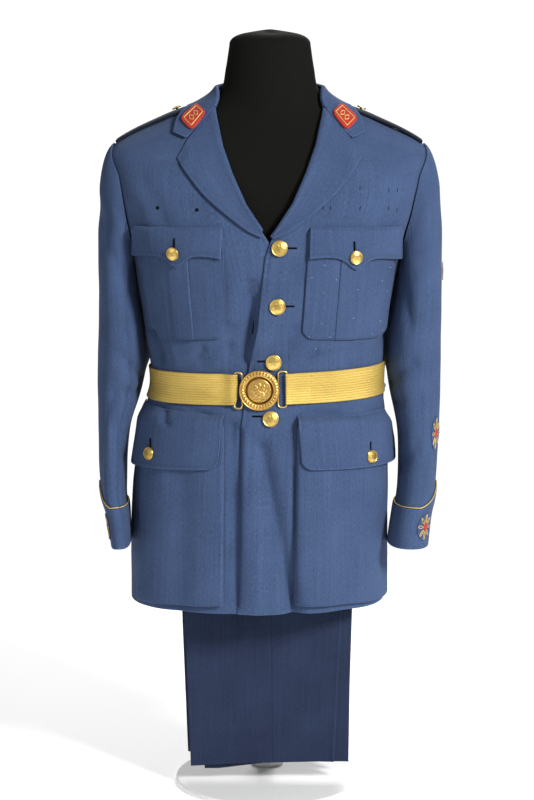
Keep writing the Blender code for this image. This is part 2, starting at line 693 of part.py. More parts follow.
def flap_grid(flap, across, up, low_rise, lift):
    """A flap's inner face: low_rise moves its lower edge up or down, lift is its height over the loft."""
    u, v = np.meshgrid(across, up)
    top_x = flap.top_in + (flap.top_out - flap.top_in) * u
    low_x = flap.low_in + (flap.low_out - flap.low_in) * u
    top_z = flap.z_top_in + (flap.z_top_out - flap.z_top_in) * u
    low_z = flap.z_low_in + (flap.z_low_out - flap.z_low_in) * u + low_rise(u)
    x = low_x + (top_x - low_x) * v
    z = low_z + (top_z - low_z) * v
    return patch_on_front(flap.side, x, z, lift(u, v))


def chest_flap(flap):
    table = np.array(SCALLOP)
    across = np.array([0, 0.1, 0.2, 0.34, 0.38, 0.43, 0.465, 0.5, 0.535, 0.57, 0.62, 0.66, 0.8, 0.9, 1])
    full = 2 * LAYER + POUCH_EXTRA + PLEAT_RISE + FLAP_EXTRA
    return flap_grid(
        flap, across, np.array([0.0, 0.5, 0.87, 1.0]),
        lambda u: np.interp(u, table[:, 0], table[:, 1]),
        lambda u, v: LAYER + (full - LAYER) * smooth((1 - v) / 0.13),
    )


def hip_flap(flap):
    across = np.array([0, 0.03, 0.08, 0.14, 0.3, 0.5, 0.7, 0.86, 0.92, 0.97, 1.0])
    width = abs(flap.low_out - flap.low_in)

    def rounded(u):
        inside = np.clip(FLAP_CORNER - np.minimum(u, 1 - u) * width, 0, FLAP_CORNER)
        return FLAP_CORNER - np.sqrt(FLAP_CORNER**2 - inside**2)

    def lift(u, v):
        bulge = BELLOWS_FRONT + (BELLOWS_BACK - BELLOWS_FRONT) * u
        full = 2 * LAYER + POUCH_EXTRA + FLAP_EXTRA + bulge
        return LAYER + (full - LAYER) * smooth((1 - v) / 0.12)

    return flap_grid(flap, across, np.array([0.0, 0.3, 0.6, 0.88, 1.0]), rounded, lift)


# The sleeves
Station = namedtuple("Station", "name z middle_y half_depth left_in left_out right_in right_out")
SLEEVE = [
    Station("end", 0.380, -0.058, 0.0545, 0.1770, 0.2345, 0.2080, 0.2385),
    Station("cuff", 0.422, -0.047, 0.0550, 0.1835, 0.2385, 0.2090, 0.2415),
    Station("lower", 0.460, -0.033, 0.0570, 0.1880, 0.2430, 0.2085, 0.2455),
    Station("forearm", 0.540, -0.012, 0.0590, 0.1880, 0.2485, 0.2035, 0.2495),
    Station("elbow", 0.612, 0.002, 0.0630, 0.1745, 0.2515, 0.1835, 0.2510),
    Station("above_elbow", 0.680, 0.005, 0.0670, 0.1745, 0.2510, 0.1830, 0.2492),
    Station("upper", 0.740, 0.003, 0.0700, 0.1850, 0.2512, 0.1935, 0.2475),
]
SLEEVE_TABLE = np.array([row[1:] for row in SLEEVE])
LAST_STATION = len(SLEEVE) - 1
SLEEVE_POWER = 2.3
FRONT_SEAM = 118.0
BACK_SEAM = 236.0
SLEEVE_SEAM = 0.25


def armhole_point(side, phi):
    """The armhole's cut, phi round from the shoulder's end (0) by the front (90) to the armpit (180)."""
    a = np.radians(phi)
    level = ARMHOLE_MIDDLE + ARMHOLE_HALF * np.cos(a)
    angle = ARMHOLE_REACH * power(np.sin(a), 0.8)
    lift = CLOTH + 2 * SEAM_GAP + CLOTH * (1 - np.cos(a)) / 2
    return skin(angle if side > 0 else 180 - angle, level, lift, folded=False)


def sleeve_base(side, phi, s):
    """Points of a sleeve's inner face: phi is round it from the outer side by the front, s is up it."""
    phi, s = np.broadcast_arrays(np.asarray(phi, float), np.asarray(s, float))
    row = splined(SLEEVE_TABLE, np.minimum(s, LAST_STATION))
    z, y, depth = row[..., 0], row[..., 1], row[..., 2]
    near, far = (row[..., 3], row[..., 4]) if side > 0 else (row[..., 5], row[..., 6])
    near, far, depth = near + CLOTH, far - CLOTH, depth - CLOTH
    a = np.radians(phi)
    x = (near + far) / 2 + (far - near) / 2 * power(np.cos(a), 2 / SLEEVE_POWER)
    ring = np.stack([side * x, y - depth * power(np.sin(a), 2 / SLEEVE_POWER), z], axis=-1)
    t = np.clip(s - LAST_STATION, 0, 1)[..., None]
    hole = armhole_point(side, phi)
    drop = np.abs(hole[..., 2] - ring[..., 2])
    up = np.stack([0 * drop, 0 * drop, 1.15 * drop + 0.01], axis=-1)
    inward = np.stack([-side * 0.04 * (1 + np.cos(a)), 0 * drop, 0.03 + 0.03 * np.cos(a)], axis=-1)
    h00, h10 = 2 * t**3 - 3 * t**2 + 1, t**3 - 2 * t**2 + t
    h01, h11 = 3 * t**2 - 2 * t**3, t**3 - t**2
    return h00 * ring + h10 * up + h01 * hole + h11 * inward


def sleeve_skin(side, phi, s, lift=0.0):
    def surface(u, v):
        return sleeve_base(side, u, v)

    phi, s = np.broadcast_arrays(np.asarray(phi, float), np.asarray(s, float))
    inner = np.clip(s, 0.03, LAST_STATION + 0.97)
    out = normals(surface, phi, inner, 1.0, 0.02) * side
    return sleeve_base(side, phi, s) + out * np.asarray(lift)[..., None]


def station_at(side, phi, z):
    """How far up a sleeve's line at phi the height z lies."""
    phi, z = np.broadcast_arrays(np.asarray(phi, float), np.asarray(z, float))
    low, high = np.zeros(z.shape), np.full(z.shape, LAST_STATION + 1.0)
    for _ in range(40):
        middle = (low + high) / 2
        under = sleeve_base(side, phi, middle)[..., 2] < z
        low, high = np.where(under, middle, low), np.where(under, high, middle)
    return (low + high) / 2


def sleeve_strip(side, first, last, steps):
    phi = np.linspace(first + SLEEVE_SEAM, last - SLEEVE_SEAM, steps)
    above = LAST_STATION + np.array([0.3, 0.55, 0.8, 1.0])
    s = np.concatenate([[0, 1, 2, 3, 3.6, 4.2, 5, LAST_STATION], above])
    return sleeve_skin(side, phi[None, :], s[:, None])


CUFF_LOW = 0.4345
CUFF_PEAK = 0.4640
CUFF_PEAK_WIDTH = 80.0
CUFF_DROP = 0.0010
PIPING_RADIUS = 0.0009
PIPING_GAP = 0.0008
CUFF_EXTRA = 0.0003


def cuff_top(phi):
    """Height of the cuff's upper edge: level, with a point that rises on the outer side."""
    away = np.abs((np.asarray(phi, float) + 180) % 360 - 180)
    return CUFF_LOW + (CUFF_PEAK - CUFF_LOW) * np.clip(1 - away / CUFF_PEAK_WIDTH, 0, 1) ** 1.2


def cuff_grid(side):
    phi = np.arange(0, 360, 12.0)
    top = station_at(side, phi, cuff_top(phi))
    share = np.array([0.0, 0.5, 1.0])[:, None]
    points = sleeve_skin(side, phi[None, :], top * share, LAYER + CUFF_EXTRA)
    points[0, :, 2] -= CUFF_DROP
    return points


def piping_points(side):
    phi = np.arange(0, 360, 14.4)
    s = station_at(side, phi, cuff_top(phi) + PIPING_RADIUS + 0.0007)
    return sleeve_skin(side, phi, s, CLOTH + PIPING_GAP + PIPING_RADIUS)


Badge = namedtuple("Badge", "name side phi z half_width half_height")
BADGES = [
    Badge("badge_upper_arm", 1, 13.0, 0.771, 0.011, 0.0135),
    Badge("badge_forearm", 1, 40.0, 0.538, 0.013, 0.0235),
    Badge("badge_left_cuff", 1, 60.0, 0.410, 0.011, 0.0190),
    Badge("badge_right_cuff", -1, 40.0, 0.409, 0.011, 0.0190),
]
BADGE_THICKNESS = 0.0012


def badge_grid(badge):
    """An oval patch on a sleeve."""
    u, v = np.meshgrid(np.linspace(-1, 1, 5), np.linspace(-1, 1, 5))
    across, up = u * np.sqrt(1 - v * v / 2), v * np.sqrt(1 - u * u / 2)
    z = badge.z + up * badge.half_height
    here = sleeve_base(badge.side, badge.phi, station_at(badge.side, badge.phi, badge.z))
    beside = sleeve_base(badge.side, badge.phi + 1, station_at(badge.side, badge.phi + 1, badge.z))
    phi = badge.phi + across * badge.half_width / np.linalg.norm(beside - here)
    on_cuff = badge.z < CUFF_LOW
    lift = LAYER + (LAYER + CUFF_EXTRA if on_cuff else 0.0)
    return sleeve_skin(badge.side, phi, station_at(badge.side, phi, z), lift)


# The shoulder straps and collar patches
STRAP_TIP = 0.1290
STRAP_END = 0.2170
STRAP_HALF_TIP = 0.0190
STRAP_HALF_END = 0.0250
STRAP_BOW = 0.0016
STRAP_POINT = 0.0110
STRAP_BUTTON_RISE = 0.0002
STRAP_DROP = 0.0003


def shoulder_strap(side):
    u, v = np.meshgrid(np.linspace(-1, 1, 8), np.array([0, 0.1, 0.28, 0.46, 0.64, 0.82, 1.0]))
    tip = STRAP_TIP + STRAP_POINT * np.abs(u) ** 1.6
    x = tip + (STRAP_END - tip) * v
    y = u * (STRAP_HALF_TIP + (STRAP_HALF_END - STRAP_HALF_TIP) * v)
    angle, level = locate_from_above(side * x, y)
    return skin(angle, level, LAYER + STRAP_BOW * np.sin(np.pi * v) - STRAP_DROP, folded=False)


PATCH_CORNERS = [Edge(0.9945, 0.0870), Edge(1.0055, 0.1005), Edge(0.9850, 0.1255), Edge(0.9690, 0.1080)]
PATCH_THICKNESS = 0.0026
PATCH_EXTRA = 0.0002


def collar_patch(side):
    a, b, c, d = (np.array(corner) for corner in PATCH_CORNERS)
    u, v = np.meshgrid(np.linspace(0, 1, 5), np.linspace(0, 1, 6))
    u, v = u[..., None], v[..., None]
    place = (d + (c - d) * u) * (1 - v) + (a + (b - a) * u) * v
    angle, level = locate(side * place[..., 1], place[..., 0])
    return skin(angle, level, COLLAR_LIFT + LAYER_GAP + PATCH_EXTRA, folded=False)


# The belt and its buckle
BELT_HEIGHT = 0.0465
BELT_MIDDLE = 0.6125
BELT_RISE = 0.0040
BELT_THICKNESS = 0.0021
BELT_EXTRA = 0.0008
BELT_RIGHT_END = -0.0510
BELT_LEFT_END = 0.0272
BUCKLE_X = -0.0135
BUCKLE_Z = 0.6126
BUCKLE_RADIUS = 0.0288
BUCKLE_SEAT = 0.0014
LOOP_WIRE = 0.0012
LOOP_HEIGHT = 0.0530
LOOP_LIFT = 2 * LAYER + LOOP_WIRE + 0.0005
LoopPlace = namedtuple("LoopPlace", "name x_from x_to z")
LOOPS = [
    LoopPlace("buckle_loop_left", 0.0125, 0.0247, 0.6135),
    LoopPlace("buckle_loop_right", -0.0485, -0.0375, 0.6115),
]


def belt_lift(x, angle):
    ahead = np.sin(np.radians(angle)) > 0
    turn = np.asarray(angle, float) % 360
    crossing = np.where(turn < 90, overlap_lift(turn), LAYER * smooth((x + 0.072) / 0.022))
    return LAYER + BELT_EXTRA + np.where(ahead, crossing, 0.0)


def belt_grid():
    level = float(level_at(90.0, BELT_MIDDLE))
    first = float(angle_at(BELT_RIGHT_END, level))
    last = 360 + float(angle_at(BELT_LEFT_END, level))
    near = np.array([0.0, 2.0, 4.5, 8.0, 13.0])
    angle = np.concatenate([first + near, np.linspace(first + 20, last - 20, 38), last - near[::-1]])
    middle = BELT_MIDDLE + BELT_RISE * np.cos(np.radians(angle))
    z = middle + np.linspace(-0.5, 0.5, 3)[:, None] * BELT_HEIGHT
    angle = np.broadcast_to(angle, z.shape)
    level = level_at(angle, z)
    x = skin(angle, level, 0.0, folded=False)[..., 0]
    return skin(angle, level, belt_lift(x, angle), folded=False)


def buckle_loop(place):
    radius = 0.0045
    half_x, half_z = (place.x_to - place.x_from) / 2, LOOP_HEIGHT / 2
    centre_x = (place.x_from + place.x_to) / 2
    points = []
    for corner_x, corner_z, first in ((1, 1, 0), (-1, 1, 90), (-1, -1, 180), (1, -1, 270)):
        for turn in (0, 30, 60, 90):
            a = math.radians(first + turn)
            x = centre_x + corner_x * (half_x - radius) + radius * math.cos(a)
            z = place.z + corner_z * (half_z - radius) + radius * math.sin(a)
            points.append((x, z))
    x, z = np.array(points).T
    angle, level = locate(x, z)
    ring = skin(angle, level, LOOP_LIFT, folded=False)
    return wire(place.name, ring, LOOP_WIRE, GOLD, closed=True, sides=1)


BUCKLE = [
    (0.0, 0.0068), (0.0080, 0.0064), (0.0140, 0.0054), (0.0176, 0.0042), (0.0190, 0.0036), (0.0205, 0.0046),
    (0.0235, 0.0056), (0.0262, 0.0048), (0.0276, 0.0036), (BUCKLE_RADIUS, 0.0030), (BUCKLE_RADIUS, 0.0012),
    (0.0270, 0.0), (0.0, 0.0),
]


def on_front(made, x, z, lift):
    """Seats a turned piece on a front, lift out from it, its axis along the loft's normal."""
    angle, level = locate(x, z)
    point = skin(angle, level, lift + (overlap_lift(angle) if x > RIGHT_SIDE_FROM else 0.0))
    out = normals(loft, angle, level, 1.0, 0.02)
    return stand_on(made, [float(value) for value in point], [float(value) for value in out])


RIGHT_SIDE_FROM = -0.0450
Button = namedtuple("Button", "name radius x z lift")
BIG_BUTTON = 0.0118
POCKET_BUTTON = 0.0093
STRAP_BUTTON = 0.0070
SHANK = 0.0018
ON_CLOSURE = LAYER - 0.0002
ON_CHEST_FLAP = 3 * LAYER + POUCH_EXTRA + PLEAT_RISE + FLAP_EXTRA - 0.0003
ON_HIP_FLAP = 3 * LAYER + POUCH_EXTRA + FLAP_EXTRA + 0.0024
BUTTONS = [
    Button("front_button_1", BIG_BUTTON, 0.0167, 0.8145, ON_CLOSURE),
    Button("front_button_2", BIG_BUTTON, 0.0140, 0.7360, ON_CLOSURE),
    Button("front_button_3", BIG_BUTTON, 0.0063, 0.6570, ON_CLOSURE),
    Button("front_button_4", BIG_BUTTON, 0.0021, 0.5730, ON_CLOSURE),
    Button("chest_button_left", POCKET_BUTTON, 0.1220, 0.8020, ON_CHEST_FLAP),
    Button("chest_button_right", POCKET_BUTTON, -0.1350, 0.8040, ON_CHEST_FLAP),
    Button("hip_button_left", POCKET_BUTTON, 0.1440, 0.5120, ON_HIP_FLAP),
    Button("hip_button_right", POCKET_BUTTON, -0.1620, 0.5140, ON_HIP_FLAP),
]


def button_profile(radius):
    """A domed, rimmed button on a short shank."""
    back = SHANK
    return [
        (0.0, back + 0.0034), (0.50 * radius, back + 0.0030), (0.85 * radius, back + 0.0020),
        (0.93 * radius, back + 0.0024), (radius, back + 0.0014), (0.90 * radius, back), (0.30 * radius, back),
        (0.26 * radius, 0.0), (0.0, 0.0),
    ]


# The sling ring and the hook that hangs on it
RING_RADIUS = 0.0032
RING_ANGLE = -14.0
RING_WIRE = 0.0008
RING_Z = 0.5960
HOOK_EYE = 0.0027
HOOK_GAP = 0.0003
HOOK_SHANK = 0.0075
HOOK_BEND = 0.0042
HOOK_WIRE = 0.00084


def circle(count):
    return [math.radians(360 * index / count) for index in range(count)]


def sling():
    level = level_at(RING_ANGLE, RING_Z)
    face = skin(RING_ANGLE, level, LAYER + BELT_EXTRA + BELT_THICKNESS + SEAM_GAP, folded=False)
    x, y = float(face[0]) + RING_RADIUS + RING_WIRE, float(face[1])
    ring = [(x + RING_RADIUS * math.cos(a), y, RING_Z + RING_RADIUS * math.sin(a)) for a in circle(16)]
    wire("sling_ring", ring, RING_WIRE, DARK_BRASS, closed=True, sides=1)
    pivot = (x, y, RING_Z - RING_RADIUS)
    eye_z = pivot[2] + 2 * RING_WIRE + HOOK_GAP - HOOK_EYE
    eye = [(x, y + HOOK_EYE * math.sin(a), eye_z + HOOK_EYE * math.cos(a)) for a in circle(14)]
    wire("hook_eye", eye, RING_WIRE, DARK_BRASS, closed=True, sides=1, origin=pivot)
    low = eye_z - HOOK_EYE
    shank = [(x, y, low - RING_WIRE - SEAM_GAP), (x, y, low - HOOK_SHANK)]
    for turn in range(20, 181, 20):
        a = math.radians(turn)
        shank.append((x, y + HOOK_BEND * (1 - math.cos(a)), low - HOOK_SHANK - HOOK_BEND * math.sin(a)))
    wire("sling_hook", shank, HOOK_WIRE, DARK_BRASS, origin=pivot)


# Building
dress_form()
stand()
for leg in LEGS:
    trouser_leg(*leg)

for name, side in (("left", 1), ("right", -1)):
    cloth(f"front_{name}", front_panel(side), TUNIC, turned=side < 0)
    cloth(f"back_{name}", back_panel(side), TUNIC, turned=side > 0)
    cloth(f"lapel_{name}", lapel(side), TUNIC, turned=side > 0)
    cloth(f"chest_pocket_{name}", chest_pouch(CHEST_POCKETS[name]), TUNIC, turned=side > 0)
    cloth(f"chest_flap_{name}", chest_flap(CHEST_FLAPS[name]), TUNIC, turned=side > 0)
    cloth(f"hip_pocket_{name}", hip_pouch(HIP_POCKETS[name]), TUNIC, turned=side > 0)
    cloth(f"hip_flap_{name}", hip_flap(HIP_FLAPS[name]), TUNIC, turned=side > 0)
    top_strip = sleeve_strip(side, BACK_SEAM - 360, FRONT_SEAM, 16)
    under_strip = sleeve_strip(side, FRONT_SEAM, BACK_SEAM, 8)
    cloth(f"sleeve_top_{name}", top_strip, TUNIC, turned=side < 0)
    cloth(f"sleeve_under_{name}", under_strip, TUNIC, turned=side < 0)
    cloth(f"cuff_{name}", cuff_grid(side), TUNIC, closed=True, turned=side < 0)
    wire(f"piping_{name}", piping_points(side), PIPING_RADIUS, GOLD, closed=True, sides=1)
    cloth(f"shoulder_strap_{name}", shoulder_strap(side), TUNIC, turned=side < 0)
    cloth(f"collar_patch_{name}", collar_patch(side), PATCH, PATCH_THICKNESS, turned=side > 0)
    strap_button = turned(f"strap_button_{name}", button_profile(STRAP_BUTTON), 10, GOLD)
    angle, level = locate_from_above(side * 0.1400, 0.0)
    seat = skin(angle, level, 2 * LAYER + STRAP_BUTTON_RISE, folded=False)
    out = normals(loft, angle, level, 1.0, 0.02)
    stand_on(strap_button, [float(value) for value in seat], [float(value) for value in out])

cloth("collar", collar_grid(), TUNIC)
cloth("belt", belt_grid(), BROCADE, BELT_THICKNESS)
for place in LOOPS:
    buckle_loop(place)
on_front(turned("buckle", BUCKLE, 24, GOLD), BUCKLE_X, BUCKLE_Z, LOOP_LIFT - LAYER + LOOP_WIRE + BUCKLE_SEAT)
for button in BUTTONS:
    on_front(turned(button.name, button_profile(button.radius), 12, GOLD), button.x, button.z, button.lift)
for badge in BADGES:
    cloth(badge.name, badge_grid(badge), BADGE, BADGE_THICKNESS, turned=badge.side < 0)
sling()
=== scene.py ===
"""Looks of an officer's belted blue wool uniform on a black limbless form, with the trousers folded below.

Metres throughout. +X is the wearer's left, -Y the front, +Z up. The torso is one loft, measured round the
body by an angle (0 at the wearer's left side, 90 in front) and up it by a level, a row number of TORSO.
All that lies on the torso is a stretch of that loft, moved out along its normals.
"""

import math
from collections import namedtuple

import bpy
import numpy as np
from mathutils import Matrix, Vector


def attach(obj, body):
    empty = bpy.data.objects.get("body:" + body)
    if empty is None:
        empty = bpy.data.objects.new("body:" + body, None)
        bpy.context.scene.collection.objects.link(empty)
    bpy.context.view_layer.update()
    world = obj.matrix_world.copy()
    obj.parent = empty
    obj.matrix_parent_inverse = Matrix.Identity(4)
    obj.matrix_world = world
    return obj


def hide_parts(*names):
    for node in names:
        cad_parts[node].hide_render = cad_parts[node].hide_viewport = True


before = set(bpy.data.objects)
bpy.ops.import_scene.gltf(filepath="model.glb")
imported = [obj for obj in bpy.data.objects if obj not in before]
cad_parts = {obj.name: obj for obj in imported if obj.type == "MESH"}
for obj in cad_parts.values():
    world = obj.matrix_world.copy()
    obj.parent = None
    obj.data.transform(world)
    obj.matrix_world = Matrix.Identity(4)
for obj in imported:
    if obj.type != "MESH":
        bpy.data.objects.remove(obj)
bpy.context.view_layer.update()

# The camera, at the photograph's angle
TARGET = Vector((-0.003, 0.0, 0.579))
DISTANCE = 3.3
ELEVATION = math.radians(9.0)
SENSOR = 36.0
LENS = 101.0

camera = bpy.data.objects.new("camera", bpy.data.cameras.new("camera"))
camera.data.sensor_fit = "VERTICAL"
camera.data.sensor_height = SENSOR
camera.data.lens = LENS
camera.location = TARGET + DISTANCE * Vector((0.0, -math.cos(ELEVATION), math.sin(ELEVATION)))
camera.rotation_euler = (math.pi / 2 - ELEVATION, 0.0, 0.0)
bpy.context.scene.collection.objects.link(camera)
bpy.context.scene.camera = camera

# The torso's loft
CLOTH = 0.0020
SEAM_GAP = 0.0003
LAYER = CLOTH + 0.0006
FORM_BASE_Z = 0.5780

Row = namedtuple(
    "Row",
    "name z_side z_front z_back centre_x half_width front back front_power back_power",
)
TORSO = [
    Row("hem", 0.288, 0.288, 0.288, -0.0175, 0.1850, 0.1270, 0.1220, 2.4, 2.3),
    Row("pouch", 0.400, 0.400, 0.400, -0.0150, 0.1870, 0.1290, 0.1240, 2.4, 2.3),
    Row("hip", 0.500, 0.500, 0.500, -0.0105, 0.1835, 0.1280, 0.1220, 2.4, 2.3),
    Row("flap_top", 0.570, 0.570, 0.570, -0.0060, 0.1735, 0.1210, 0.1130, 2.4, 2.3),
    Row("waist", 0.612, 0.612, 0.612, -0.0030, 0.1665, 0.1155, 0.1060, 2.3, 2.2),
    Row("ribs", 0.680, 0.680, 0.680, -0.0050, 0.1735, 0.1205, 0.1095, 2.3, 2.2),
    Row("chest", 0.745, 0.745, 0.745, -0.0045, 0.1830, 0.1255, 0.1140, 2.3, 2.2),
    Row("armpit", 0.800, 0.800, 0.800, -0.0030, 0.1930, 0.1265, 0.1180, 2.6, 2.5),
    Row("blade", 0.860, 0.855, 0.862, -0.0010, 0.2130, 0.1210, 0.1200, 3.0, 2.8),
    Row("yoke", 0.912, 0.893, 0.914, 0.0000, 0.2240, 0.1110, 0.1120, 3.0, 2.8),
    Row("shoulder", 0.950, 0.925, 0.951, 0.0000, 0.2235, 0.0960, 0.0980, 2.7, 2.6),
    Row("mid_shoulder", 0.988, 0.958, 0.994, 0.0000, 0.1500, 0.0770, 0.0800, 2.3, 2.2),
    Row("near_neck", 1.011, 0.983, 1.021, 0.0005, 0.0980, 0.0620, 0.0680, 2.0, 2.0),
    Row("neck_base", 1.032, 1.006, 1.042, 0.0010, 0.0735, 0.0540, 0.0610, 2.0, 2.0),
    Row("neck", 1.062, 1.050, 1.068, 0.0012, 0.0665, 0.0510, 0.0570, 2.0, 2.0),
    Row("neck_top", 1.094, 1.090, 1.098, 0.0013, 0.0615, 0.0500, 0.0540, 2.0, 2.0),
]
LEVEL = {row.name: index for index, row in enumerate(TORSO)}
TABLE = np.array([row[1:] for row in TORSO])

# Troughs (depth below 0) and ridges of the torso's cloth, between two points given by x and z
Fold = namedtuple("Fold", "face x_low z_low x_high z_high width depth")
FOLDS = [
    Fold("front", -0.045, 0.655, -0.028, 0.760, 0.0130, -0.0080),
    Fold("front", -0.033, 0.655, -0.023, 0.742, 0.0070, -0.0050),
    Fold("front", -0.050, 0.300, -0.052, 0.560, 0.0080, -0.0060),
    Fold("front", -0.062, 0.320, -0.060, 0.540, 0.0070, 0.0014),
    Fold("front", 0.036, 0.290, -0.012, 0.530, 0.0125, -0.0125),
    Fold("front", -0.016, 0.290, -0.030, 0.480, 0.0150, 0.0050),
    Fold("front", 0.006, 0.300, 0.014, 0.420, 0.0100, 0.0030),
    Fold("front", -0.150, 0.640, -0.165, 0.690, 0.0055, -0.0080),
    Fold("front", -0.158, 0.640, -0.171, 0.680, 0.0050, 0.0030),
    Fold("front", -0.095, 0.650, -0.060, 0.672, 0.0080, -0.0050),
    Fold("front", -0.116, 0.642, -0.094, 0.668, 0.0060, -0.0044),
    Fold("front", -0.062, 0.640, -0.055, 0.700, 0.0090, -0.0055),
    Fold("front", -0.130, 0.640, -0.139, 0.672, 0.0060, 0.0014),
    Fold("front", 0.060, 0.655, 0.130, 0.668, 0.0075, -0.0050),
    Fold("front", 0.085, 0.658, 0.150, 0.661, 0.0060, 0.0024),
    Fold("front", 0.040, 0.642, 0.066, 0.664, 0.0070, -0.0038),
    Fold("front", 0.140, 0.640, 0.164, 0.678, 0.0065, -0.0045),
    Fold("front", 0.0365, 0.300, 0.0375, 0.500, 0.0036, -0.0045),
    Fold("front", -0.0435, 0.300, -0.0400, 0.555, 0.0030, -0.0055),
    Fold("front", 0.018, 0.648, 0.034, 0.700, 0.0090, -0.0018),
    Fold("front", -0.152, 0.584, -0.140, 0.560, 0.0060, -0.0045),
    Fold("front", -0.112, 0.584, -0.086, 0.574, 0.0050, -0.0030),
    Fold("front", 0.052, 0.584, 0.094, 0.577, 0.0060, -0.0034),
    Fold("front", 0.120, 0.588, 0.152, 0.576, 0.0060, -0.0036),
    Fold("front", -0.128, 0.300, -0.120, 0.480, 0.0200, -0.0052),
    Fold("front", 0.106, 0.300, 0.096, 0.470, 0.0200, -0.0048),
    Fold("front", 0.148, 0.300, 0.146, 0.460, 0.0160, 0.0014),
    Fold("front", -0.148, 0.850, -0.178, 0.905, 0.0140, -0.0030),
    Fold("front", 0.154, 0.850, 0.182, 0.905, 0.0140, -0.0028),
    Fold("front", -0.176, 0.800, -0.186, 0.862, 0.0100, -0.0020),
    Fold("front", 0.030, 0.780, 0.062, 0.752, 0.0120, -0.0014),
    Fold("back", -0.060, 0.650, -0.030, 0.740, 0.0140, -0.0045),
    Fold("back", 0.055, 0.650, 0.035, 0.730, 0.0140, -0.0045),
    Fold("back", -0.100, 0.300, -0.085, 0.520, 0.0200, -0.0060),
    Fold("back", 0.085, 0.300, 0.075, 0.540, 0.0200, -0.0060),
    Fold("back", -0.010, 0.300, -0.004, 0.500, 0.0180, 0.0040),
    Fold("back", -0.130, 0.645, -0.080, 0.668, 0.0080, -0.0028),
    Fold("back", 0.075, 0.650, 0.135, 0.664, 0.0080, -0.0030),
    Fold("back", -0.045, 0.585, -0.060, 0.545, 0.0080, -0.0024),
    Fold("back", 0.110, 0.585, 0.100, 0.548, 0.0070, -0.0022),
    Fold("back", -0.110, 0.800, -0.150, 0.880, 0.0180, -0.0034),
    Fold("back", 0.105, 0.800, 0.150, 0.885, 0.0180, -0.0030),
]
BELT_MIDDLE = 0.6132
UNDER_BELT = 0.0210
BELT_EASE = 0.0220


def splined(table, level):
    """Values of a table's columns at fractional rows, on a Catmull-Rom curve."""
    level = np.clip(np.asarray(level, float), 0, len(table) - 1)
    first = np.minimum(level.astype(int), len(table) - 2)
    t = (level - first)[..., None]
    before = table[np.maximum(first - 1, 0)]
    start, end = table[first], table[first + 1]
    after = table[np.minimum(first + 2, len(table) - 1)]
    return 0.5 * (
        2 * start
        + (end - before) * t
        + (2 * before - 5 * start + 4 * end - after) * t**2
        + (3 * start - before - 3 * end + after) * t**3
    )


def smooth(t):
    t = np.clip(t, 0.0, 1.0)
    return t * t * (3 - 2 * t)


def power(value, exponent):
    return np.sign(value) * np.abs(value) ** exponent


def loft(angle, level):
    """Points of the torso's loft."""
    angle, level = np.broadcast_arrays(np.asarray(angle, float), np.asarray(level, float))
    row = splined(TABLE, level)
    z_side, z_front, z_back, centre, half, front, back, front_power, back_power = np.moveaxis(row, -1, 0)
    c, s = np.cos(np.radians(angle)), np.sin(np.radians(angle))
    ahead = s > 0
    exponent = 2 / np.where(ahead, front_power, back_power)
    x = centre + half * power(c, exponent)
    y = -np.where(ahead, front, back) * power(s, exponent)
    z = z_side + (np.where(ahead, z_front, z_back) - z_side) * s**2
    return np.stack([x, y, z], axis=-1)


def normals(surface, u, v, du, dv):
    across = surface(u + du, v) - surface(u - du, v)
    along = surface(u, v + dv) - surface(u, v - dv)
    found = np.cross(along, across)
    return found / np.linalg.norm(found, axis=-1, keepdims=True)


def ripple(points):
    """A slight unevenness that all cloth has."""
    x, y, z = np.moveaxis(points, -1, 0)
    broad = np.sin(31 * x + 17 * z + 9 * y + 1.3) * np.sin(23 * z - 11 * x + 0.4)
    fine = np.sin(83 * x + 41 * z + 2.0) * np.sin(67 * z - 29 * x + 31 * y)
    return 0.00050 * broad + 0.00022 * fine


def fold_depth(points, angle):
    """How far the folds move the cloth out at these points; the belt holds them flat under it."""
    ahead = np.sin(np.radians(angle)) > 0
    total = np.zeros(points.shape[:-1])
    for fold in FOLDS:
        start = np.array([fold.x_low, fold.z_low])
        way = np.array([fold.x_high, fold.z_high]) - start
        offset = points[..., [0, 2]] - start
        t = (offset @ way) / (way @ way)
        near = offset - np.clip(t, 0, 1)[..., None] * way
        fade = np.exp(-((np.linalg.norm(near, axis=-1) / fold.width) ** 2))
        total += np.where(ahead == (fold.face == "front"), fold.depth * fade, 0.0)
    free = smooth((np.abs(points[..., 2] - BELT_MIDDLE) - UNDER_BELT) / BELT_EASE)
    return (total + ripple(points)) * free


def skin(angle, level, lift=0.0, folded=True):
    """The loft moved out by lift along its normals, with the cloth's folds."""
    angle, level = np.broadcast_arrays(np.asarray(angle, float), np.asarray(level, float))
    points = loft(angle, level)
    out = lift + (fold_depth(points, angle) if folded else 0.0)
    return points + normals(loft, angle, level, 1.0, 0.02) * np.asarray(out)[..., None]


def level_at(angle, z):
    """The level where the loft reaches height z at this angle."""
    angle, z = np.broadcast_arrays(np.asarray(angle, float), np.asarray(z, float))
    low, high = np.zeros(z.shape), np.full(z.shape, len(TORSO) - 1.0)
    for _ in range(30):
        middle = (low + high) / 2
        under = loft(angle, middle)[..., 2] < z
        low, high = np.where(under, middle, low), np.where(under, high, middle)
    return (low + high) / 2


def angle_at(x, level, face=1):
    """The angle where this level's ring has that x, on the front (face 1) or the back (face -1)."""
    row = splined(TABLE, level)
    ratio = np.clip((x - row[..., 3]) / row[..., 4], -1, 1)
    exponent = np.where(face > 0, row[..., 7], row[..., 8]) / 2
    c = power(ratio, exponent)
    return np.degrees(np.arctan2(face * np.sqrt(np.maximum(1 - c * c, 0)), c)) % 360


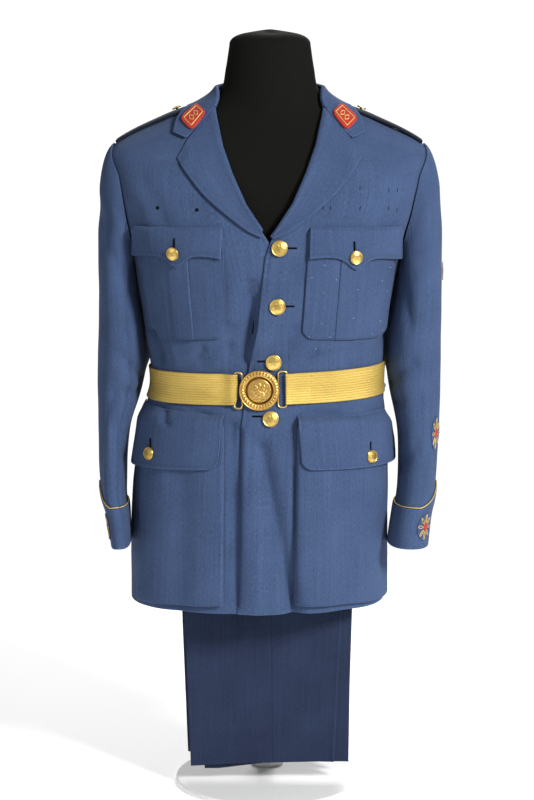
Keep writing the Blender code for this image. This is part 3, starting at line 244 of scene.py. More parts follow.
def locate(x, z, face=1):
    """(angle, level) of the loft's point at that x and height."""
    x, z = np.broadcast_arrays(np.asarray(x, float), np.asarray(z, float))
    low, high = np.zeros(z.shape), np.full(z.shape, len(TORSO) - 1.0)
    for _ in range(30):
        middle = (low + high) / 2
        under = loft(angle_at(x, middle, face), middle)[..., 2] < z
        low, high = np.where(under, middle, low), np.where(under, high, middle)
    level = (low + high) / 2
    return angle_at(x, level, face), level


def locate_from_above(x, y):
    """(angle, level) of the loft's point over (x, y) on a shoulder."""
    x, y = np.broadcast_arrays(np.asarray(x, float), np.asarray(y, float))
    low = np.full(x.shape, float(LEVEL["shoulder"]))
    high = np.full(x.shape, float(LEVEL["neck_base"]))
    for _ in range(30):
        middle = (low + high) / 2
        row = splined(TABLE, middle)
        depth = np.where(y < 0, row[..., 5], row[..., 6])
        exponent = np.where(y < 0, row[..., 7], row[..., 8]) / 2
        s = np.clip(np.abs(y) / depth, 0, 1) ** exponent * np.where(y < 0, 1, -1)
        angle = np.degrees(np.arctan2(s, np.sign(x) * np.sqrt(1 - s * s)))
        outside = np.abs(loft(angle, middle)[..., 0]) > np.abs(x)
        low, high = np.where(outside, middle, low), np.where(outside, high, middle)
    return angle, (low + high) / 2


# The finishes
class Value:
    """A shader value on which arithmetic adds Math nodes."""

    def __init__(self, finish, socket):
        self.finish, self.socket = finish, socket

    def math(self, operation, *others):
        return self.finish.node("ShaderNodeMath", [self, *others], operation=operation)

    def __add__(self, other):
        return self.math("ADD", other)

    def __sub__(self, other):
        return self.math("SUBTRACT", other)

    def __mul__(self, other):
        return self.math("MULTIPLY", other)

    def __rsub__(self, other):
        return self.finish.node("ShaderNodeMath", [other, self], operation="SUBTRACT")

    __radd__, __rmul__ = __add__, __mul__

    def between(self, low, high):
        return self.finish.node("ShaderNodeMapRange", {"Value": self, "To Min": low, "To Max": high})

    def sine(self):
        return self.math("SINE")

    def at_least(self, edge, ease):
        """1 above the edge, 0 below it, over a smooth step as wide as ease."""
        return self.finish.node(
            "ShaderNodeMapRange",
            {"Value": self, "From Min": edge - ease / 2, "From Max": edge + ease / 2},
            interpolation_type="SMOOTHSTEP",
        )


class Finish:
    """A material whose Principled shader is fed by nodes."""

    def __init__(self, name, **numbers):
        self.material = bpy.data.materials.new(name)
        self.material.use_nodes = True
        self.tree = self.material.node_tree
        self.shader = self.tree.nodes["Principled BSDF"]
        for key, number in numbers.items():
            self.shader.inputs[key.replace("_", " ").title().replace("Ior", "IOR")].default_value = number

    def node(self, kind, inputs=(), output=0, **settings):
        made = self.tree.nodes.new(kind)
        for key, setting in settings.items():
            setattr(made, key, setting)
        pairs = inputs.items() if isinstance(inputs, dict) else enumerate(inputs)
        for key, given in pairs:
            if isinstance(given, Value):
                self.tree.links.new(given.socket, made.inputs[key])
            else:
                made.inputs[key].default_value = given
        return Value(self, made.outputs[output])

    def mix(self, share, first, second):
        colours = [(*item, 1.0) if isinstance(item, tuple) else item for item in (first, second)]
        return self.node(
            "ShaderNodeMix", {0: share, 6: colours[0], 7: colours[1]}, 2, data_type="RGBA", blend_type="MIX"
        )

    def noise(self, place, scale, detail=2.0, stretch=(1.0, 1.0, 1.0)):
        scaled = self.node("ShaderNodeMapping", {0: place, 3: stretch})
        return self.node("ShaderNodeTexNoise", {"Vector": scaled, "Scale": scale, "Detail": detail})

    def attribute(self, name):
        return self.node("ShaderNodeAttribute", output="Fac", attribute_name=name)

    def feed(self, colour, roughness=None, height=None, distance=0.001, strength=1.0):
        self.tree.links.new(colour.socket, self.shader.inputs["Base Color"])
        if roughness is not None:
            self.tree.links.new(roughness.socket, self.shader.inputs["Roughness"])
        if height is not None:
            bump = self.node("ShaderNodeBump", {"Height": height, "Distance": distance, "Strength": strength})
            self.tree.links.new(bump.socket, self.shader.inputs["Normal"])
        return self.material


def wool(name, base, light, streak=0.5, sheen=0.08):
    """Napped twill with heathered yarn: pale and dark flecks drawn out along the warp."""
    finish = Finish(name, roughness=0.88, sheen_weight=sheen, sheen_roughness=0.45, specular_ior_level=0.12)
    finish.shader.inputs["Sheen Tint"].default_value = (0.62, 0.74, 1.0, 1.0)
    place = finish.node("ShaderNodeUVMap", output="UV", uv_map="cloth")
    warp = finish.noise(place, 1300.0, 3.0, (1.0, 0.14, 1.0))
    line = finish.noise(place, 480.0, 2.0, (1.0, 0.015, 1.0))
    weft = finish.noise(place, 1000.0, 2.0, (0.30, 1.0, 1.0))
    fleck = finish.noise(place, 1500.0, 2.0)
    broad = finish.noise(place, 14.0, 3.0)
    split = finish.node("ShaderNodeSeparateXYZ", [place])
    across, up = split, Value(finish, split.socket.node.outputs[1])
    twill = ((across + up) * (2 * math.pi / 0.0011)).sine()
    edge = finish.attribute("edge")
    worn = 1.0 - edge.at_least(0.0016, 0.0020)
    share = (warp - 0.5) * (2.0 * streak) + (line - 0.5) * streak + (weft - 0.5) * 0.5
    share = share + (fleck - 0.5) * 0.8 + (broad - 0.5) * 0.5 + twill * 0.05 + worn * 0.16 + 0.42
    colour = finish.mix(share, base, light)
    # Painted shade: the colour darkens where the groove attribute is high, in the stitched grooves and in the
    # trousers' shaded strips; the same mask also sinks the bump.
    groove_and_painted_shade = finish.attribute("groove")
    colour = finish.mix(groove_and_painted_shade * 0.16, colour, tuple(0.45 * part for part in base))
    height = twill * 0.16 + warp * 0.5 + fleck * 0.35 - groove_and_painted_shade * 0.6
    return finish.feed(colour, None, height, 0.00034, 0.9)


def metal(name, base, dark, roughness, scale=90.0):
    """Gilt metal, duller and darker in its hollows and in patches."""
    finish = Finish(name, metallic=1.0)
    place = finish.node("ShaderNodeTexCoord", output="Object")
    patch = finish.noise(place, scale, 4.0)
    fine = finish.noise(place, scale * 14, 2.0)
    hollow = finish.attribute("hollow")
    share = (patch - 0.42) * 1.3 + (fine - 0.5) * 0.35 + hollow * 0.85
    colour = finish.mix(share, base, dark)
    rough = patch.between(roughness - 0.07, roughness + 0.16)
    return finish.feed(colour, rough, fine, 0.00012, 0.5)


def lace():
    """Woven gold lace: drawn threads across each rib, with dull and tarnished stretches."""
    finish = Finish("gold_lace", specular_ior_level=0.6)
    finish.shader.inputs["Metallic"].default_value = 0.62
    place = finish.node("ShaderNodeUVMap", output="UV", uv_map="cloth")
    across = finish.node("ShaderNodeSeparateXYZ", [place])
    drawn = (across * (2 * math.pi / 0.0009)).sine()
    slub = finish.noise(place, 800.0, 2.0, (1.0, 0.35, 1.0))
    patch = finish.noise(place, 34.0, 4.0, (0.45, 1.0, 1.0))
    hollow = finish.attribute("hollow")
    edge = finish.attribute("edge")
    worn = 1.0 - edge.at_least(0.002, 0.003)
    share = hollow * 0.62 + (patch - 0.5) * 1.1 + (slub - 0.5) * 0.7 + worn * 0.25
    colour = finish.mix(share, (0.740, 0.530, 0.130), (0.300, 0.170, 0.030))
    rough = patch.between(0.40, 0.60)
    return finish.feed(colour, rough, drawn * 0.5 + slub, 0.00022, 0.8)


def felt(name, base, dark, scale=900.0, sheen=0.15):
    finish = Finish(name, roughness=0.92, sheen_weight=sheen, specular_ior_level=0.10)
    place = finish.node("ShaderNodeTexCoord", output="Object")
    nap = finish.noise(place, scale, 3.0)
    broad = finish.noise(place, 60.0, 3.0)
    colour = finish.mix((nap - 0.4) * 0.9 + (broad - 0.5) * 0.6, base, dark)
    return finish.feed(colour, None, nap, 0.0003, 0.7)


def thread(name, base, dark, metallic=0.0, shine=0.4):
    """Wound or twisted thread."""
    finish = Finish(name, roughness=0.55, metallic=metallic, specular_ior_level=shine)
    place = finish.node("ShaderNodeTexCoord", output="Object")
    strand = finish.noise(place, 2600.0, 2.0, (1.0, 1.0, 0.5))
    colour = finish.mix((strand - 0.35) * 1.2, base, dark)
    return finish.feed(colour, None, strand, 0.00020, 0.8)


def lacquer():
    finish = Finish("white_lacquer_satin", coat_weight=0.3, coat_roughness=0.25)
    place = finish.node("ShaderNodeTexCoord", output="Object")
    dust = finish.noise(place, 60.0, 4.0)
    colour = finish.mix((dust - 0.45) * 0.5, (0.84, 0.84, 0.83), (0.74, 0.735, 0.72))
    rough = dust.between(0.30, 0.48)
    return finish.feed(colour, rough, finish.noise(place, 420.0, 2.0), 0.00006, 0.4)


TUNIC = wool("tunic_twill", (0.022, 0.038, 0.084), (0.078, 0.124, 0.248))
# The straps are of the tunic's cloth; this copy of its twill is painted near black, as the shade on them.
SHADED_STRAP_WOOL = wool("strap_twill_painted_shade", (0.004, 0.005, 0.009), (0.014, 0.018, 0.031))
TROUSER = wool("trouser_twill", (0.0095, 0.0140, 0.0320), (0.0310, 0.0480, 0.1030), 0.4)
JERSEY = felt("black_jersey", (0.0050, 0.0050, 0.0043), (0.0070, 0.0070, 0.0061), 700.0, 0.0)
PATCH = felt("red_felt_nap", (0.440, 0.030, 0.020), (0.250, 0.018, 0.013))
GILT = metal("gilt_worn", (0.900, 0.640, 0.190), (0.380, 0.215, 0.040), 0.30)
BUCKLE_GILT = metal("gilt_antique", (0.700, 0.440, 0.125), (0.190, 0.090, 0.018), 0.36, 60.0)
LACE = lace()
CORD = thread("gold_cord", (0.700, 0.520, 0.180), (0.330, 0.220, 0.060), 0.5)
BULLION = thread("gold_bullion", (0.620, 0.430, 0.130), (0.240, 0.140, 0.035), 0.55)
RED_THREAD = thread("red_thread", (0.520, 0.040, 0.030), (0.280, 0.020, 0.015))
# Dark navy thread, made near black so that it also stands for the shade in the holes' openings.
NAVY_THREAD_AND_HOLE_SHADE = thread("navy_thread_and_hole_shade", (0.0040, 0.0050, 0.0105), (0.0015, 0.0020, 0.0045), 0.0, 0.05)
SEWING = thread("sewing_thread", (0.034, 0.050, 0.098), (0.020, 0.030, 0.062), 0.0, 0.1)
PALE_THREAD = thread("pale_thread", (0.360, 0.400, 0.450), (0.220, 0.250, 0.300))
DARK_BRASS = metal("blackened_brass", (0.110, 0.080, 0.040), (0.020, 0.016, 0.010), 0.42)
LACQUER = lacquer()


# Making pieces
def keep(made, node=None, body="uniform"):
    """Puts a finished piece on its body and hides the imported part that it stands for, when there is one."""
    if made.name not in bpy.context.scene.collection.objects:
        bpy.context.scene.collection.objects.link(made)
    if node:
        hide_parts(node)
    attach(made, body)
    return made


def mesh_of(name, verts, faces, finish, uv=None, facts=()):
    """An object from points and faces; uv holds one pair for each face corner, facts one number a point."""
    mesh = bpy.data.meshes.new(name)
    mesh.from_pydata(np.asarray(verts).tolist(), [], [tuple(face) for face in faces])
    if uv is not None:
        layer = mesh.uv_layers.new(name="cloth")
        layer.data.foreach_set("uv", np.asarray(uv, np.float32).ravel())
    for key, numbers in dict(facts).items():
        found = mesh.attributes.new(key, "FLOAT", "POINT")
        found.data.foreach_set("value", np.asarray(numbers, np.float32).ravel())
    mesh.materials.append(finish)
    mesh.shade_smooth()
    made = bpy.data.objects.new(name, mesh)
    bpy.context.scene.collection.objects.link(made)
    return made


def spread(count, length, fine=(0.0004, 0.0010, 0.0019, 0.0032)):
    """Shares from 0 to 1, with more of them near both ends, where an edge is rounded."""
    near = np.array([step / length for step in fine])
    inner = np.linspace(near[-1] * 1.6, 1 - near[-1] * 1.6, count)
    return np.concatenate([[0.0], near, inner, 1 - near[::-1], [1.0]])


def steps_along(points, axis):
    """Lengths from the first point of each line along an axis of a grid."""
    step = np.linalg.norm(np.diff(points, axis=axis), axis=-1)
    zero = np.zeros_like(np.take(step, [0], axis=axis))
    return np.concatenate([zero, np.cumsum(step, axis=axis)], axis=axis)


def grid_normals(points, ring=False):
    if ring:
        wide = np.concatenate([points[:, -1:], points, points[:, :1]], axis=1)
        across = (wide[:, 2:] - wide[:, :-2])
    else:
        across = np.gradient(points, axis=1)
    found = np.cross(np.gradient(points, axis=0), across)
    length = np.linalg.norm(found, axis=-1, keepdims=True)
    return found / np.maximum(length, 1e-12)


ROUND = 0.0009
RIM = 0.35
SEAM_SHARE = 0.4
GROOVE_WIDTH = 0.0007


def wall(name, points, finish, thickness=CLOTH, ring=False, turned=False, free="lrbt", groove=None,
         hollow=None, grain=None):
    """A closed wall of cloth on a grid of its inner face, with rounded edges, as long and wide as the grid.

    free names the edges that are cut edges: left, right, bottom and top. groove is a row of stitching's
    distance from them. grain says how far across the cloth each point lies, where the weave isn't to follow
    the grid. Returns the object, its flat width, length and area.
    """
    if grain is not None and turned:
        grain = grain[:, ::-1]
    points = points[:, ::-1] if turned else points
    if hollow is not None and turned:
        hollow = hollow[:, ::-1]
    if not np.isscalar(thickness) and turned:
        thickness = thickness[:, ::-1]
    rows, columns = points.shape[:2]
    along, across = steps_along(points, 0), steps_along(points, 1)
    distances = {"l": across, "r": across[:, -1:] - across, "b": along, "t": along[-1:] - along}
    if turned:
        distances["l"], distances["r"] = distances["r"], distances["l"]
    sides = "bt" if ring else "lrbt"
    from_rim = np.min([distances[side] / (1.0 if side in free else SEAM_SHARE) for side in sides], axis=0)
    cut = [distances[side] for side in free if side in sides]
    edge = np.min(cut, axis=0) if cut else np.full((rows, columns), 1.0)
    rounded = np.sqrt(1 - (1 - np.clip(from_rim / ROUND, 0, 1)) ** 2)
    out = grid_normals(points, ring)
    outer = points + out * (thickness * (RIM + (1 - RIM) * rounded))[..., None]
    verts = np.concatenate([outer.reshape(-1, 3), points.reshape(-1, 3)])
    index = np.arange(rows * columns).reshape(rows, columns)
    middle = columns // 2
    u = grain if grain is not None else across - across[:, middle:middle + 1]
    v = np.broadcast_to(along[:, middle:middle + 1], u.shape)
    uv = np.stack([u, v], axis=-1)
    if ring:
        index = np.concatenate([index, index[:, :1]], axis=1)
        closing = np.linalg.norm(points[:, -1] - points[:, 0], axis=-1)
        last = uv[:, -1:] + np.stack([closing, 0 * closing], axis=-1)[:, None]
        uv = np.concatenate([uv, last], axis=1)
    total = rows * columns

    def corners(grid):
        a, b, c, d = grid[:-1, :-1], grid[1:, :-1], grid[1:, 1:], grid[:-1, 1:]
        return [item.reshape((-1,) + item.shape[2:]) for item in (a, b, c, d)]

    a, b, c, d = corners(index)
    ua, ub, uc, ud = corners(uv)
    faces = [np.stack([a, b, c, d], 1), np.stack([a, d, c, b], 1) + total]
    maps = [np.stack([ua, ub, uc, ud], 1), np.stack([ua, ud, uc, ub], 1)]

    def rim(line, uv_line, backwards):
        first, second = line[:-1], line[1:]
        u_first, u_second = uv_line[:-1], uv_line[1:]
        if backwards:
            first, second, u_first, u_second = second, first, u_second, u_first
        faces.append(np.stack([first, second, second + total, first + total], 1))
        maps.append(np.stack([u_first, u_second, u_second, u_first], 1))

    rim(index[0], uv[0], False)
    rim(index[-1], uv[-1], True)
    if not ring:
        rim(index[:, 0], uv[:, 0], True)
        rim(index[:, -1], uv[:, -1], False)
    # The stitching row's groove: the finishes sink it and paint shade in it.
    groove_and_painted_shade = np.zeros_like(edge)
    if groove is not None:
        groove_and_painted_shade = np.exp(-(((edge - groove) / GROOVE_WIDTH) ** 2))
    facts = {"edge": np.tile(edge.ravel(), 2), "groove": np.tile(groove_and_painted_shade.ravel(), 2)}
    facts["hollow"] = np.tile(hollow.ravel(), 2) if hollow is not None else np.zeros(2 * total)
    made = mesh_of(name, verts, np.concatenate(faces), finish, np.concatenate(maps).reshape(-1, 2), facts)
    width = float((across[:, -1] + (closing if ring else 0)).max())
    length = float(along[-1].max())
    cell = np.linalg.norm(np.cross(
        np.diff(points, axis=0)[:, :-1], np.diff(points, axis=1)[:-1]), axis=-1).sum()
    if ring:
        cell += (np.linalg.norm(np.diff(points[:, 0], axis=0), axis=-1) * closing[:-1]).sum()
    return made, width, length, float(cell)


def cloth(name, node, points, finish, slot, held, rests_on, **shape):
    """A wall of cloth that stands for a node, whose imported part it hides."""
    made, width, length, area = wall(name, points, finish, **shape)
    keep(made, node)
    return made


def tube_mesh(points, radius, reference, sides=8, closed=False, strands=0, pitch=0.003):
    """Points and faces of a round or twisted cord; reference is a direction that it never runs along."""
    points = np.asarray(points, float)
    if closed:
        ahead = np.roll(points, -1, axis=0) - np.roll(points, 1, axis=0)
    else:
        ahead = np.gradient(points, axis=0)
    ahead /= np.linalg.norm(ahead, axis=-1, keepdims=True)
    side = np.cross(ahead, np.asarray(reference, float))
    side /= np.linalg.norm(side, axis=-1, keepdims=True)
    up = np.cross(side, ahead)
    turn = np.arange(sides) * 2 * math.pi / sides
    lengths = np.concatenate([[0.0], np.cumsum(np.linalg.norm(np.diff(points, axis=0), axis=-1))])
    turns = round(lengths[-1] / pitch)
    phase = lengths / lengths[-1] * turns * 2 * math.pi
    girth = np.full((len(points), sides), 1.0)
    if strands:
        girth = 0.80 + 0.20 * np.abs(np.cos((strands * turn[None, :] + phase[:, None]) / 2))
    ring = np.cos(turn)[None, :, None] * side[:, None] + np.sin(turn)[None, :, None] * up[:, None]
    verts = points[:, None] + ring * (np.asarray(radius) * girth)[..., None]
    count = len(points)
    faces = []
    for i in range(count if closed else count - 1):
        k = (i + 1) % count
        for j in range(sides):
            m = (j + 1) % sides
            faces.append((i * sides + j, i * sides + m, k * sides + m, k * sides + j))
    verts = verts.reshape(-1, 3)
    if not closed:
        for row, flip in ((0, True), (count - 1, False)):
            centre = len(verts)
            tip = points[row] + ahead[row] * radius * (0.5 if row else -0.5)
            verts = np.concatenate([verts, tip[None]])
            for j in range(sides):
                edge = (row * sides + j, row * sides + (j + 1) % sides)
                faces.append((edge[1], edge[0], centre) if flip else (edge[0], edge[1], centre))
    return verts, faces


def tubes(name, runs, finish):
    """One piece from several cords, each a dictionary of tube_mesh's arguments."""
    verts, faces = [], []
    start = 0
    for run in runs:
        more, corners = tube_mesh(**run)
        verts.append(more)
        faces += [tuple(start + index for index in face) for face in corners]
        start += len(more)
    return mesh_of(name, np.concatenate(verts), faces, finish)


def turned_piece(name, profile, steps, finish, place=(0.0, 0.0, 0.0)):
    """A solid turned round a vertical axis, from a closed profile that runs from the top down."""
    profile = np.asarray(profile, float)
    a = np.arange(steps) * 2 * math.pi / steps
    ring = np.stack([np.cos(a), np.sin(a)], -1)
    inner = profile[1:-1]
    verts = [np.array([0.0, 0.0, profile[0, 1]])[None]]
    for radius, height in inner:
        verts.append(np.column_stack([ring * radius, np.full(steps, height)]))
    verts.append(np.array([0.0, 0.0, profile[-1, 1]])[None])
    faces = []
    for j in range(steps):
        k = (j + 1) % steps
        faces.append((0, 1 + j, 1 + k))
        for i in range(len(inner) - 1):
            a0, b0 = 1 + i * steps, 1 + (i + 1) * steps
            faces.append((a0 + j, b0 + j, b0 + k, a0 + k))
        last = 1 + (len(inner) - 1) * steps
        faces.append((last + j, last + steps, last + k))
    made = mesh_of(name, np.concatenate(verts) + np.array(place), faces, finish)
    return made


def arc(centre, radius, first, last, count=6):
    """Points of a profile's rounded corner."""
    turns = np.radians(np.linspace(first, last, count))
    return [(centre[0] + radius * math.cos(a), centre[1] + radius * math.sin(a)) for a in turns]


# The edges of the tunic's panels
ARMHOLE_MIDDLE = 8.5
ARMHOLE_HALF = 1.5
ARMHOLE_REACH = 24.0
NECKLINE = 12.10
NECKLINE_FRONT = 11.40
NECKLINE_TURN = 40.0
SEAM_ANGLE = 0.05
ROLL_INSET = 0.0030

Edge = namedtuple("Edge", "z x")
ROLL = [
    Edge(0.826, 0.000), Edge(0.872, 0.0315), Edge(0.915, 0.0515), Edge(0.951, 0.0650), Edge(0.990, 0.0740),
    Edge(1.016, 0.0780), Edge(1.030, 0.0765),
]
LEFT_EDGE = [
    Edge(0.288, -0.045), Edge(0.330, -0.044), Edge(0.430, -0.041), Edge(0.560, -0.039), Edge(0.635, -0.030),
    Edge(0.700, -0.016), Edge(0.760, -0.010), Edge(0.800, -0.006),
]
RIGHT_EDGE = [Edge(0.288, 0.016), Edge(0.600, 0.022), Edge(0.760, 0.024), Edge(0.790, 0.020)]
OVERLAP_FROM = 75.0
OVERLAP_EASE = 50.0
UNDERLAP_DROP = 0.0030
UNDERLAP_EASE = 0.012
GAPE = 0.0060
GAPE_Z = 0.700
GAPE_HEIGHT = 0.032
GAPE_REACH = 0.030
TROUGH = 0.0118
TROUGH_ASIDE = 0.0040
TROUGH_WIDTH = 0.0062
TROUGH_HEIGHT = 0.038
TUCK_ANGLE = 1.3
TUCK_DROP = CLOTH + 0.0004
TUCK_EASE = 0.5


def armhole_angle(level):
    """How far round from the side the armhole's cut lies at this level."""
    q = np.clip((np.asarray(level, float) - ARMHOLE_MIDDLE) / ARMHOLE_HALF, -1, 1)
    return ARMHOLE_REACH * (1 - q * q) ** 0.4


def front_edge(side):
    """(angles, levels) along a front's edge, from the hem up the closing edge and the lapel's roll line."""
    lower = LEFT_EDGE if side > 0 else RIGHT_EDGE
    table = np.array(lower + [Edge(row.z, side * (row.x + ROLL_INSET)) for row in ROLL])
    z = np.linspace(table[0, 0], table[-1, 0], 400)
    return locate(np.interp(z, table[:, 0], table[:, 1]), z)


def overlap_lift(angle):
    """How far the wearer's left front lies out from the loft, so that it clears the right one under it."""
    return LAYER * np.clip(1 - (OVERLAP_FROM - np.asarray(angle, float)) / OVERLAP_EASE, 0, 1)


def left_edge_x(z):
    table = np.array(LEFT_EDGE + [Edge(ROLL[0].z, ROLL[0].x)])
    return np.interp(z, table[:, 0], table[:, 1])


def gape(points):
    """The closing edge stands off a little between the second and third buttons."""
    near = smooth((left_edge_x(points[..., 2]) + GAPE_REACH - points[..., 0]) / GAPE_REACH)
    return GAPE * near * np.exp(-(((points[..., 2] - GAPE_Z) / GAPE_HEIGHT) ** 2))


def underlap_drop(points):
    """How far the right front gives way under the left one, and sinks beside it where it gapes."""
    beside = points[..., 0] - left_edge_x(points[..., 2])
    above = points[..., 2] - GAPE_Z
    trough = np.exp(-(((beside + TROUGH_ASIDE) / TROUGH_WIDTH) ** 2 + (above / TROUGH_HEIGHT) ** 2))
    return UNDERLAP_DROP * smooth((beside + 0.003) / UNDERLAP_EASE) + TROUGH * trough


def neckline(angle):
    """Level of the neck seam, angle degrees round from the shoulder; it drops towards the front."""
    return NECKLINE + (NECKLINE_FRONT - NECKLINE) * np.clip(np.asarray(angle, float) / NECKLINE_TURN, 0, 1)


PANEL_BREAK = 11.1
GRAIN_RADIUS = 0.165
ARMHOLE_ROWS = ARMHOLE_MIDDLE - ARMHOLE_HALF * np.cos(np.linspace(0.06, math.pi - 0.06, 52))
HEM_ROWS = np.array([0.0, 0.004, 0.010, 0.018, 0.030])


def front_panel(side):
    """Grid of the inner face of one front, side 1 for the wearer's left and -1 for the right."""
    edge_angle, edge_level = front_edge(side)
    edge_angle = edge_angle if side > 0 else 180 - edge_angle
    last = np.interp(NECKLINE_FRONT, edge_level, edge_angle)
    rows = np.concatenate([HEM_ROWS, np.linspace(0.06, 7, 126), ARMHOLE_ROWS, np.linspace(10, 12.1, 32)])
    u, v = np.meshgrid(spread(72, 0.27), rows)
    over = np.maximum(v - PANEL_BREAK, 0)
    level = np.minimum(v, PANEL_BREAK) + (neckline(u * last) - PANEL_BREAK) * over
    inner_level = np.minimum(v, PANEL_BREAK) + (neckline(last) - PANEL_BREAK) * over
    outer = armhole_angle(inner_level) + SEAM_ANGLE
    angle = outer + (np.interp(inner_level, edge_level, edge_angle) - outer) * u
    if side > 0:
        lift = overlap_lift(angle) + gape(loft(angle, level))
        return skin(angle, level, lift), np.radians(angle) * GRAIN_RADIUS
    turned = 180 - angle
    return skin(turned, level, -underlap_drop(loft(turned, level))), np.radians(turned) * GRAIN_RADIUS


def back_panel(side):
    """Grid of the inner face of one back, from the side seam, where it is tucked under the front."""
    rows = np.concatenate([HEM_ROWS, np.linspace(0.06, 7, 118), ARMHOLE_ROWS, np.linspace(10, NECKLINE, 32)])
    u, v = np.meshgrid(np.concatenate([np.linspace(-1, -0.1, 7), spread(48, 0.24)]), rows)
    outer = armhole_angle(v) + SEAM_ANGLE
    tucked = 1 - np.clip(armhole_angle(v) / 3, 0, 1)
    beyond = TUCK_ANGLE * np.minimum(u, 0) * (0.02 + 0.98 * tucked)
    across = (90 - SEAM_ANGLE - outer) * np.maximum(u, 0) + beyond
    drop = TUCK_DROP * smooth(1 - (across - SEAM_ANGLE) / TUCK_EASE) * tucked
    angle = -(outer + across)
    angle = angle if side > 0 else 180 - angle
    return skin(angle, v, -drop), np.radians(angle) * GRAIN_RADIUS


def on_front(x, z, lift):
    """Points lying over either front at those places, lift out from the loft."""
    side_left = x > left_edge_x(z)
    angle, level = locate(x, z)
    return skin(angle, level, lift + np.where(side_left, overlap_lift(angle) + gape(loft(angle, level)), 0.0))


def patch_on_front(side, x, z, lift):
    """Points lying on one front, which all share that front's rise."""
    angle, level = locate(x, z)
    rise = overlap_lift(angle) + gape(loft(angle, level)) if side > 0 else 0.0
    return skin(angle, level, lift + rise)


# The form and its stand
BASE_RADIUS = 0.140
BASE_THICKNESS = 0.008
POLE_RADIUS = 0.0125
POLE_Y = 0.052
BAR_RADIUS = 0.0050
BAR_Z = 0.5400
BAR_Y = -0.022
BAR_HALF = 0.1340
BAR_X = -0.0025
FORM_FREE = 0.0120
FORM_SNUG = 0.0030


def dress_form():
    """The limbless form: smooth, closed, with room under the cloth except on the shoulders."""
    first = float(level_at(0.0, FORM_BASE_Z))
    levels = np.concatenate([[first], np.linspace(5, 15, 110)])
    angles = np.arange(0, 360, 4.0)
    room = FORM_FREE + (FORM_SNUG - FORM_FREE) * smooth((levels - 7.5) / 2.7)
    grid = list(skin(angles[None], levels[:, None], -room[:, None], folded=False))
    top = grid[-1]
    middle = top.mean(axis=0)
    for turn in np.linspace(8, 86, 14):
        share, rise = math.cos(math.radians(turn)) ** 0.72, 0.0205 * math.sin(math.radians(turn)) ** 0.8
        ring = middle + (top - middle) * share
        ring[:, 2] = top[:, 2] + rise - 0.35 * (top[:, 2] - middle[2]) * (1 - share)
        grid.append(ring)
    grid[0][:, 2] = FORM_BASE_Z
    points = np.array(grid)
    rows, columns = points.shape[:2]
    poles = [points[0].mean(axis=0)[None], points[-1].mean(axis=0)[None]]
    verts = np.concatenate([points.reshape(-1, 3), *poles])
    faces = []
    for i in range(rows - 1):
        for j in range(columns):
            k = (j + 1) % columns
            faces.append((i * columns + j, (i + 1) * columns + j, (i + 1) * columns + k, i * columns + k))
    for j in range(columns):
        k = (j + 1) % columns
        faces.append((j, k, rows * columns))
        faces.append(((rows - 1) * columns + k, (rows - 1) * columns + j, rows * columns + 1))
    return mesh_of("form_body", verts, faces, JERSEY)


keep(dress_form(), "dress_form")

base_profile = [(0.0, BASE_THICKNESS)] + arc((BASE_RADIUS - 0.003, BASE_THICKNESS - 0.003), 0.003, 90, 0)
base_profile += [(BASE_RADIUS, 0.0008), (BASE_RADIUS - 0.0008, 0.0), (0.0, 0.0)]
keep(turned_piece("base_disc", base_profile, 128, LACQUER), "base_plate")
foot_z = BASE_THICKNESS + SEAM_GAP
pole_top = FORM_BASE_Z - SEAM_GAP
pole_profile = [(0.0, pole_top), (POLE_RADIUS, pole_top), (POLE_RADIUS, foot_z + 0.014)]
pole_profile += [(POLE_RADIUS + 0.0015, foot_z + 0.0105)] + arc((0.0225, foot_z + 0.0065), 0.0015, 90, 0, 4)
pole_profile += [(0.024, foot_z), (0.0, foot_z)]
pole = turned_piece("pole_tube", pole_profile, 48, LACQUER, (BAR_X, POLE_Y, 0.0))
keep(pole, "form_pole")
BAR_CORNER = 0.012
bar_left = [(BAR_X + BAR_HALF, BAR_Y, FORM_BASE_Z - SEAM_GAP)]
for turn in range(0, 91, 10):
    a = math.radians(turn)
    x = BAR_X + BAR_HALF - BAR_CORNER * (1 - math.cos(a))
    bar_left.append((x, BAR_Y, BAR_Z + BAR_CORNER * (1 - math.sin(a))))
bar_path = bar_left + [(2 * BAR_X - x, y, z) for x, y, z in reversed(bar_left)]
bar = tubes("bar_rod", [dict(points=bar_path, radius=BAR_RADIUS, reference=(0, 1, 0), sides=20)], LACQUER)
keep(bar, "trouser_bar")


# The trousers, folded flat and hung over the bar
LEG_THICKNESS = 0.0064
LEG_GROOVE = 0.0022
LEG_GAP = 0.0008
Hang = namedtuple("Hang", "name along centre_x half_width")
HANG = np.array([row[1:] for row in [
    Hang("hem", 0.0, 0.0010, 0.1175), Hang("calf", 0.22, -0.0020, 0.1225),
    Hang("knee", 0.50, -0.0025, 0.1225),
    Hang("thigh", 0.78, -0.0010, 0.1250), Hang("waist", 1.0, 0.0, 0.1180),
]])
HEM_LINE = 0.0500
STEP_TOP = 0.1040
STEP_LOW = 0.0960
SEAM_TOP = 0.0025
SEAM_LOW = 0.0040
NEAR_LINE = np.array([
    0.0040, 0.0022, 0.0014, 0.0009, 0.0005, 0.0, -0.0005, -0.0009, -0.0014, -0.0022, -0.0040,
])
LEG_FACE = 0.965

# How far a leg's lower edge rises along x, and how much its wearer's right side draws in there
LowEdge = namedtuple("LowEdge", "x rise")
FRONT_LOW = [LowEdge(-0.1140, 0.0), LowEdge(0.0300, 0.0066), LowEdge(0.1180, 0.0058)]
BACK_LOW = [LowEdge(-0.0940, -0.0030), LowEdge(0.0340, 0.0098), LowEdge(0.1180, 0.0150)]
LOW_REACH = 0.16
DRAWN_IN = 0.20
DRAWN_REACH = 0.12


